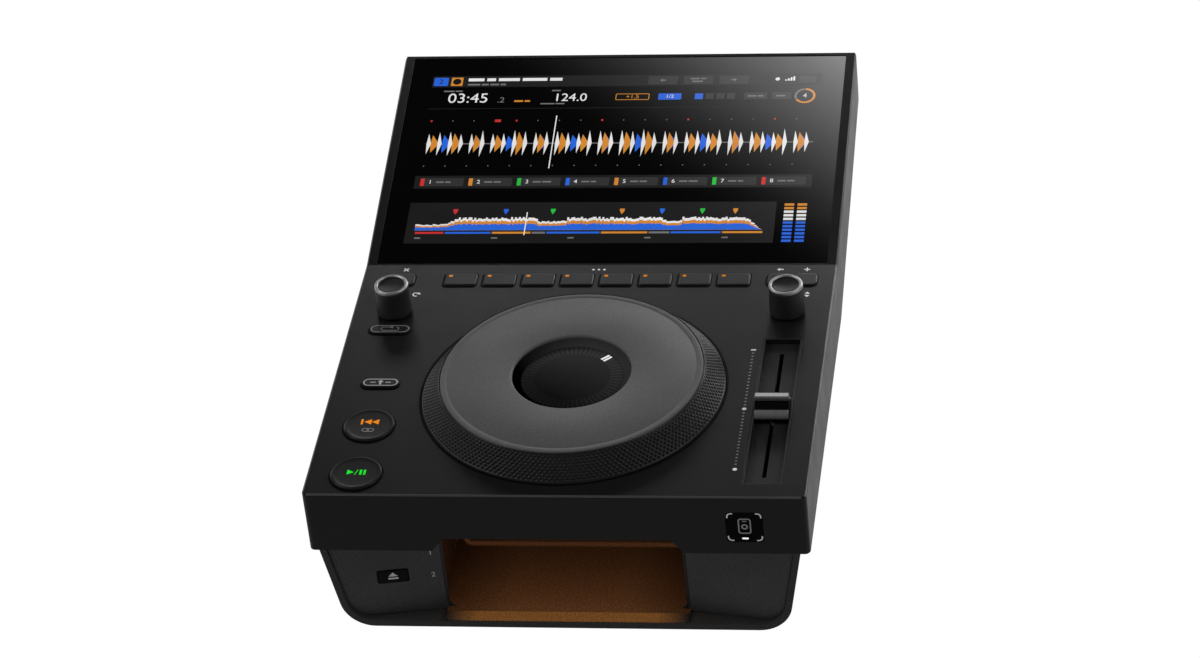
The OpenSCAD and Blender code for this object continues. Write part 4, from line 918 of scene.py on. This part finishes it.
def beat_wave(on):
    """Big wave of spikes in three colours, their heights uneven by a seeded draw, with its level line,
    beat ticks and play line."""
    y, count, pitch = 12.0, 36, 6.02
    start = pitch * np.arange(count) - 106.5
    height = np.random.default_rng(11).uniform(0.7, 1.0, count)
    for tone, first, step, shift, before, after, size in (
            ("blue", 1, 3, 2.7, 0.7, 4.4, 8.2), ("orange", 0, 2, 2.4, 0.8, 4.0, 9.2),
            ("white", 0, 1, 0.0, 0.5, 2.0, 10.6)):
        on[tone] += [kites(start[first::step] + shift, y, before, after, size * height[first::step])]
    on["line"] += [bars([-107.5, y - 0.35, 108.5, y + 0.35])]
    tick = start[::2]
    on["line"] += [bars(np.column_stack([tick - 0.3, 0 * tick + low, tick + 0.3, 0 * tick + low + 0.7]))
                   for low in (29.6, -5.6)]
    on["red"] += [bars([[x - 0.5, 29.3, x + 0.5, 30.6] for x in tick[::4]]),
                  bars([-70.6, 28.9, -67.2, 30.9])]
    on["mark"] += [bars([-36.4, -7.4, -35.8, 33.6])]


def cue_row(on):
    """Eight numbered tablets, each with its own colour."""
    for i, tone in enumerate(("red", "orange", "green", "blue", "orange", "blue", "green", "red")):
        x = -94.5 + 27 * i
        on["key"] += [tablet(x, -17.7, 24.2, 6.2, 0.7)]
        on[tone] += [bars([x - 12.1, -20.5, x - 9.9, -14.9])]
        on["white"] += [figures(str(i + 1), 4.0, x - 6.6, -17.7)]
        on["line"] += [words(x - 3.4, -17.7, (4.5, 3 + i % 3), 1.1)]


def overview(on):
    """Small wave of the whole tune in three heights, uneven by a seeded draw, with its coloured parts, cue
    flags, times and play line, and the level meter beside it."""
    k = np.arange(180)
    quiet = 0.55 * ((k > 62) & (k < 78)) + 0.4 * ((k > 126) & (k < 137))
    shape = 3.6 + 4.0 * smooth_step((k - 14) / 8) * (1 - quiet)
    shape = shape * np.random.default_rng(5).uniform(0.8, 1.0, 180) * (1 - smooth_step((k - 168) / 10))
    x, low = -104.5 + 1.07 * k, -54.4
    for tone, share in (("white", 1.3), ("orange", 1.0), ("blue", 0.66)):
        on["over_" + tone] += [bars(np.column_stack([x - 0.54, 0 * x + low, x + 0.54, low + share * shape]))]
    spans = np.array([-104.5, -88, -62, -40, -32, -2, 24, 36, 64, 86.5])
    for i, tone in enumerate(("red", "blue", "orange", "line", "blue", "orange", "line", "blue", "orange")):
        on[tone] += [bars([spans[i], -57.0, spans[i + 1] - 0.7, -55.6])]
    for spot, tone in ((-84, "red"), (-56, "blue"), (-30, "green"), (8, "orange"), (30, "blue"),
                       (52, "green"), (70, "orange")):
        on[tone] += [polygon((spot - 1.3, -40.0), (spot, -42.6), (spot + 1.3, -40.0)),
                     bars([spot - 1.3, -40.0, spot + 1.3, -38.4])]
    on["line"] += [words(w, -60.2, (3.4,), 1.0) for w in (-104.5, -62, -20, 22, 64)]
    on["mark"] += [bars([-44.4, -58.2, -43.8, -41.0])]
    for tone, rows in (("blue", range(6)), ("white", range(6, 9)), ("orange", range(9, 11))):
        on[tone] += [bars([[c, -63.6 + 2.7 * n, c + 5.2, -61.9 + 2.7 * n]
                           for c in (96.4, 103.4) for n in rows])]


def screen():
    """The page's rows, gathered by tone and laid on the glass as thin layers, the last on top."""
    layers = ["panel", "key", "line", "blue", "orange", "red", "green", "white", "dark", "over_white",
              "over_orange", "over_blue", "mark"]
    on = {tone: [] for tone in layers}
    for rows in (status_rows, beat_wave, cue_row, overview):
        rows(on)
    for layer, tone in enumerate(layers):
        finish = UI.get(tone.removeprefix("over_"), UI["white"])
        marks("screen_" + tone, on[tone], on_glass, finish, slot="display", lift=0.03 + 0.012 * layer)


screen()


# Camera and light

def photo_camera():
    """Stands where the photograph's camera stood and is turned to the player by the shortest way."""
    data = bpy.data.cameras.new("photo_camera")
    data.sensor_width, data.lens = 36.0, 128.0
    camera = placed("photo_camera", data)
    place = Vector((0.345, -1.8305, 1.3982))
    level = Euler((math.radians(54.54), 0, 0)).to_quaternion()
    aim = Vector((0.0, 0.0, 0.062)) - place
    camera.location = place
    camera.rotation_mode = "QUATERNION"
    camera.rotation_quaternion = (level @ Vector((0, 0, -1))).rotation_difference(aim) @ level
    bpy.context.scene.camera = camera


def softbox(name, place, aim, size, level, fade=None):
    """Area lamp whose power lights the spot it aims at by a share of the plain level; a fading one
    has a cloth that grows brighter along its width and height."""
    data = bpy.data.lights.new(name, "AREA")
    data.shape, data.size, data.size_y = "RECTANGLE", *size
    if fade:
        data.use_nodes = True
        tree = data.node_tree
        spot = put(tree, "SeparateXYZ", {0: put(tree, "NewGeometry").outputs["Parametric"]})
        cloth = maths(tree, "ADD", times(tree, spot.outputs["X"], fade[1]),
                      times(tree, spot.outputs["Y"], fade[2]))
        cloth = remap(tree, maths(tree, "ADD", cloth, fade[0]), 0.0, 1.15, 0.0, 1.15)
        tree.links.new(maths(tree, "POWER", cloth, 2.5), tree.nodes["Emission"].inputs["Strength"])
    way = Vector(aim) - Vector(place)
    data.energy = level * math.pi ** 2 * way.length ** 2
    lamp = placed(name, data)
    lamp.location = place
    lamp.rotation_euler = way.to_track_quat("-Z", "Y").to_euler()
    lamp.visible_camera = False


def pale_floor():
    """Wide floor at the feet, white to the camera and pale in gloss, that still takes part of the shadow."""
    corners = np.array([[-1, -1, 0], [1, -1, 0], [1, 1, 0], [-1, 1, 0]]) * 20.0
    mesh = bpy.data.meshes.new("floor")
    mesh.from_pydata(corners.tolist(), [], [[0, 1, 2, 3]])
    material, tree, shader = blank("pale floor", {"Roughness": 0.7})
    tone = remap(tree, noise(tree, 3.0, 2.0), 0.3, 0.7, 0.55, 0.6)
    tree.links.new(tone, shader.inputs["Base Color"])
    ray = put(tree, "LightPath").outputs
    to_camera, in_gloss = 0.97, 0.4
    mirrored = maths(tree, "MAXIMUM", ray["Is Glossy Ray"], ray["Is Transmission Ray"])
    seen = maths(tree, "MAXIMUM", times(tree, ray["Is Camera Ray"], to_camera),
                 times(tree, mirrored, in_gloss))
    white = put(tree, "Emission", {"Color": grey(1.0), "Strength": 1.03})
    mix = put(tree, "MixShader", {0: seen, 1: shader.outputs[0], 2: white.outputs[0]})
    tree.links.new(mix.outputs[0], tree.nodes["Material Output"].inputs["Surface"])
    mesh.materials.append(material)
    floor = placed("floor", mesh)


DECK_SPOT = (0, 0, 0.09)
photo_camera()
softbox("front_softbox", (0.3, -1.9, 0.6), (0, -0.1, 0.06), (1.8, 0.8), 0.06)
softbox("left_softbox", (-1.3, -0.2, 1.3), DECK_SPOT, (0.8, 0.8), 0.45)
softbox("right_softbox", (1.3, -0.2, 1.3), DECK_SPOT, (0.8, 0.8), 0.35)
softbox("back_left_strip", (-0.16, 0.54, 0.37), DECK_SPOT, (0.3, 0.16), 0.13)
softbox("back_right_strip", (0.18, 0.5, 0.33), DECK_SPOT, (0.3, 0.14), 0.3)
softbox("back_left_softbox", (-1.1, 1.0, 0.26), DECK_SPOT, (0.6, 0.3), 0.12)
softbox("back_right_softbox", (0.9, 1.2, 0.3), DECK_SPOT, (0.6, 0.4), 0.36)
softbox("screen_softbox", (-0.19, 0.91, 1.35), (-0.19, 0.91, 0.1), (0.46, 0.32), 0.088,
        (-1.21, 1.34, 1.2))
world = bpy.data.worlds.new("soft room")
world.use_nodes = True
world.node_tree.nodes["Background"].inputs["Color"].default_value = grey(1.0)
world.node_tree.nodes["Background"].inputs["Strength"].default_value = 0.012
bpy.context.scene.world = world
bpy.context.scene.view_settings.view_transform = "Standard"
pale_floor()
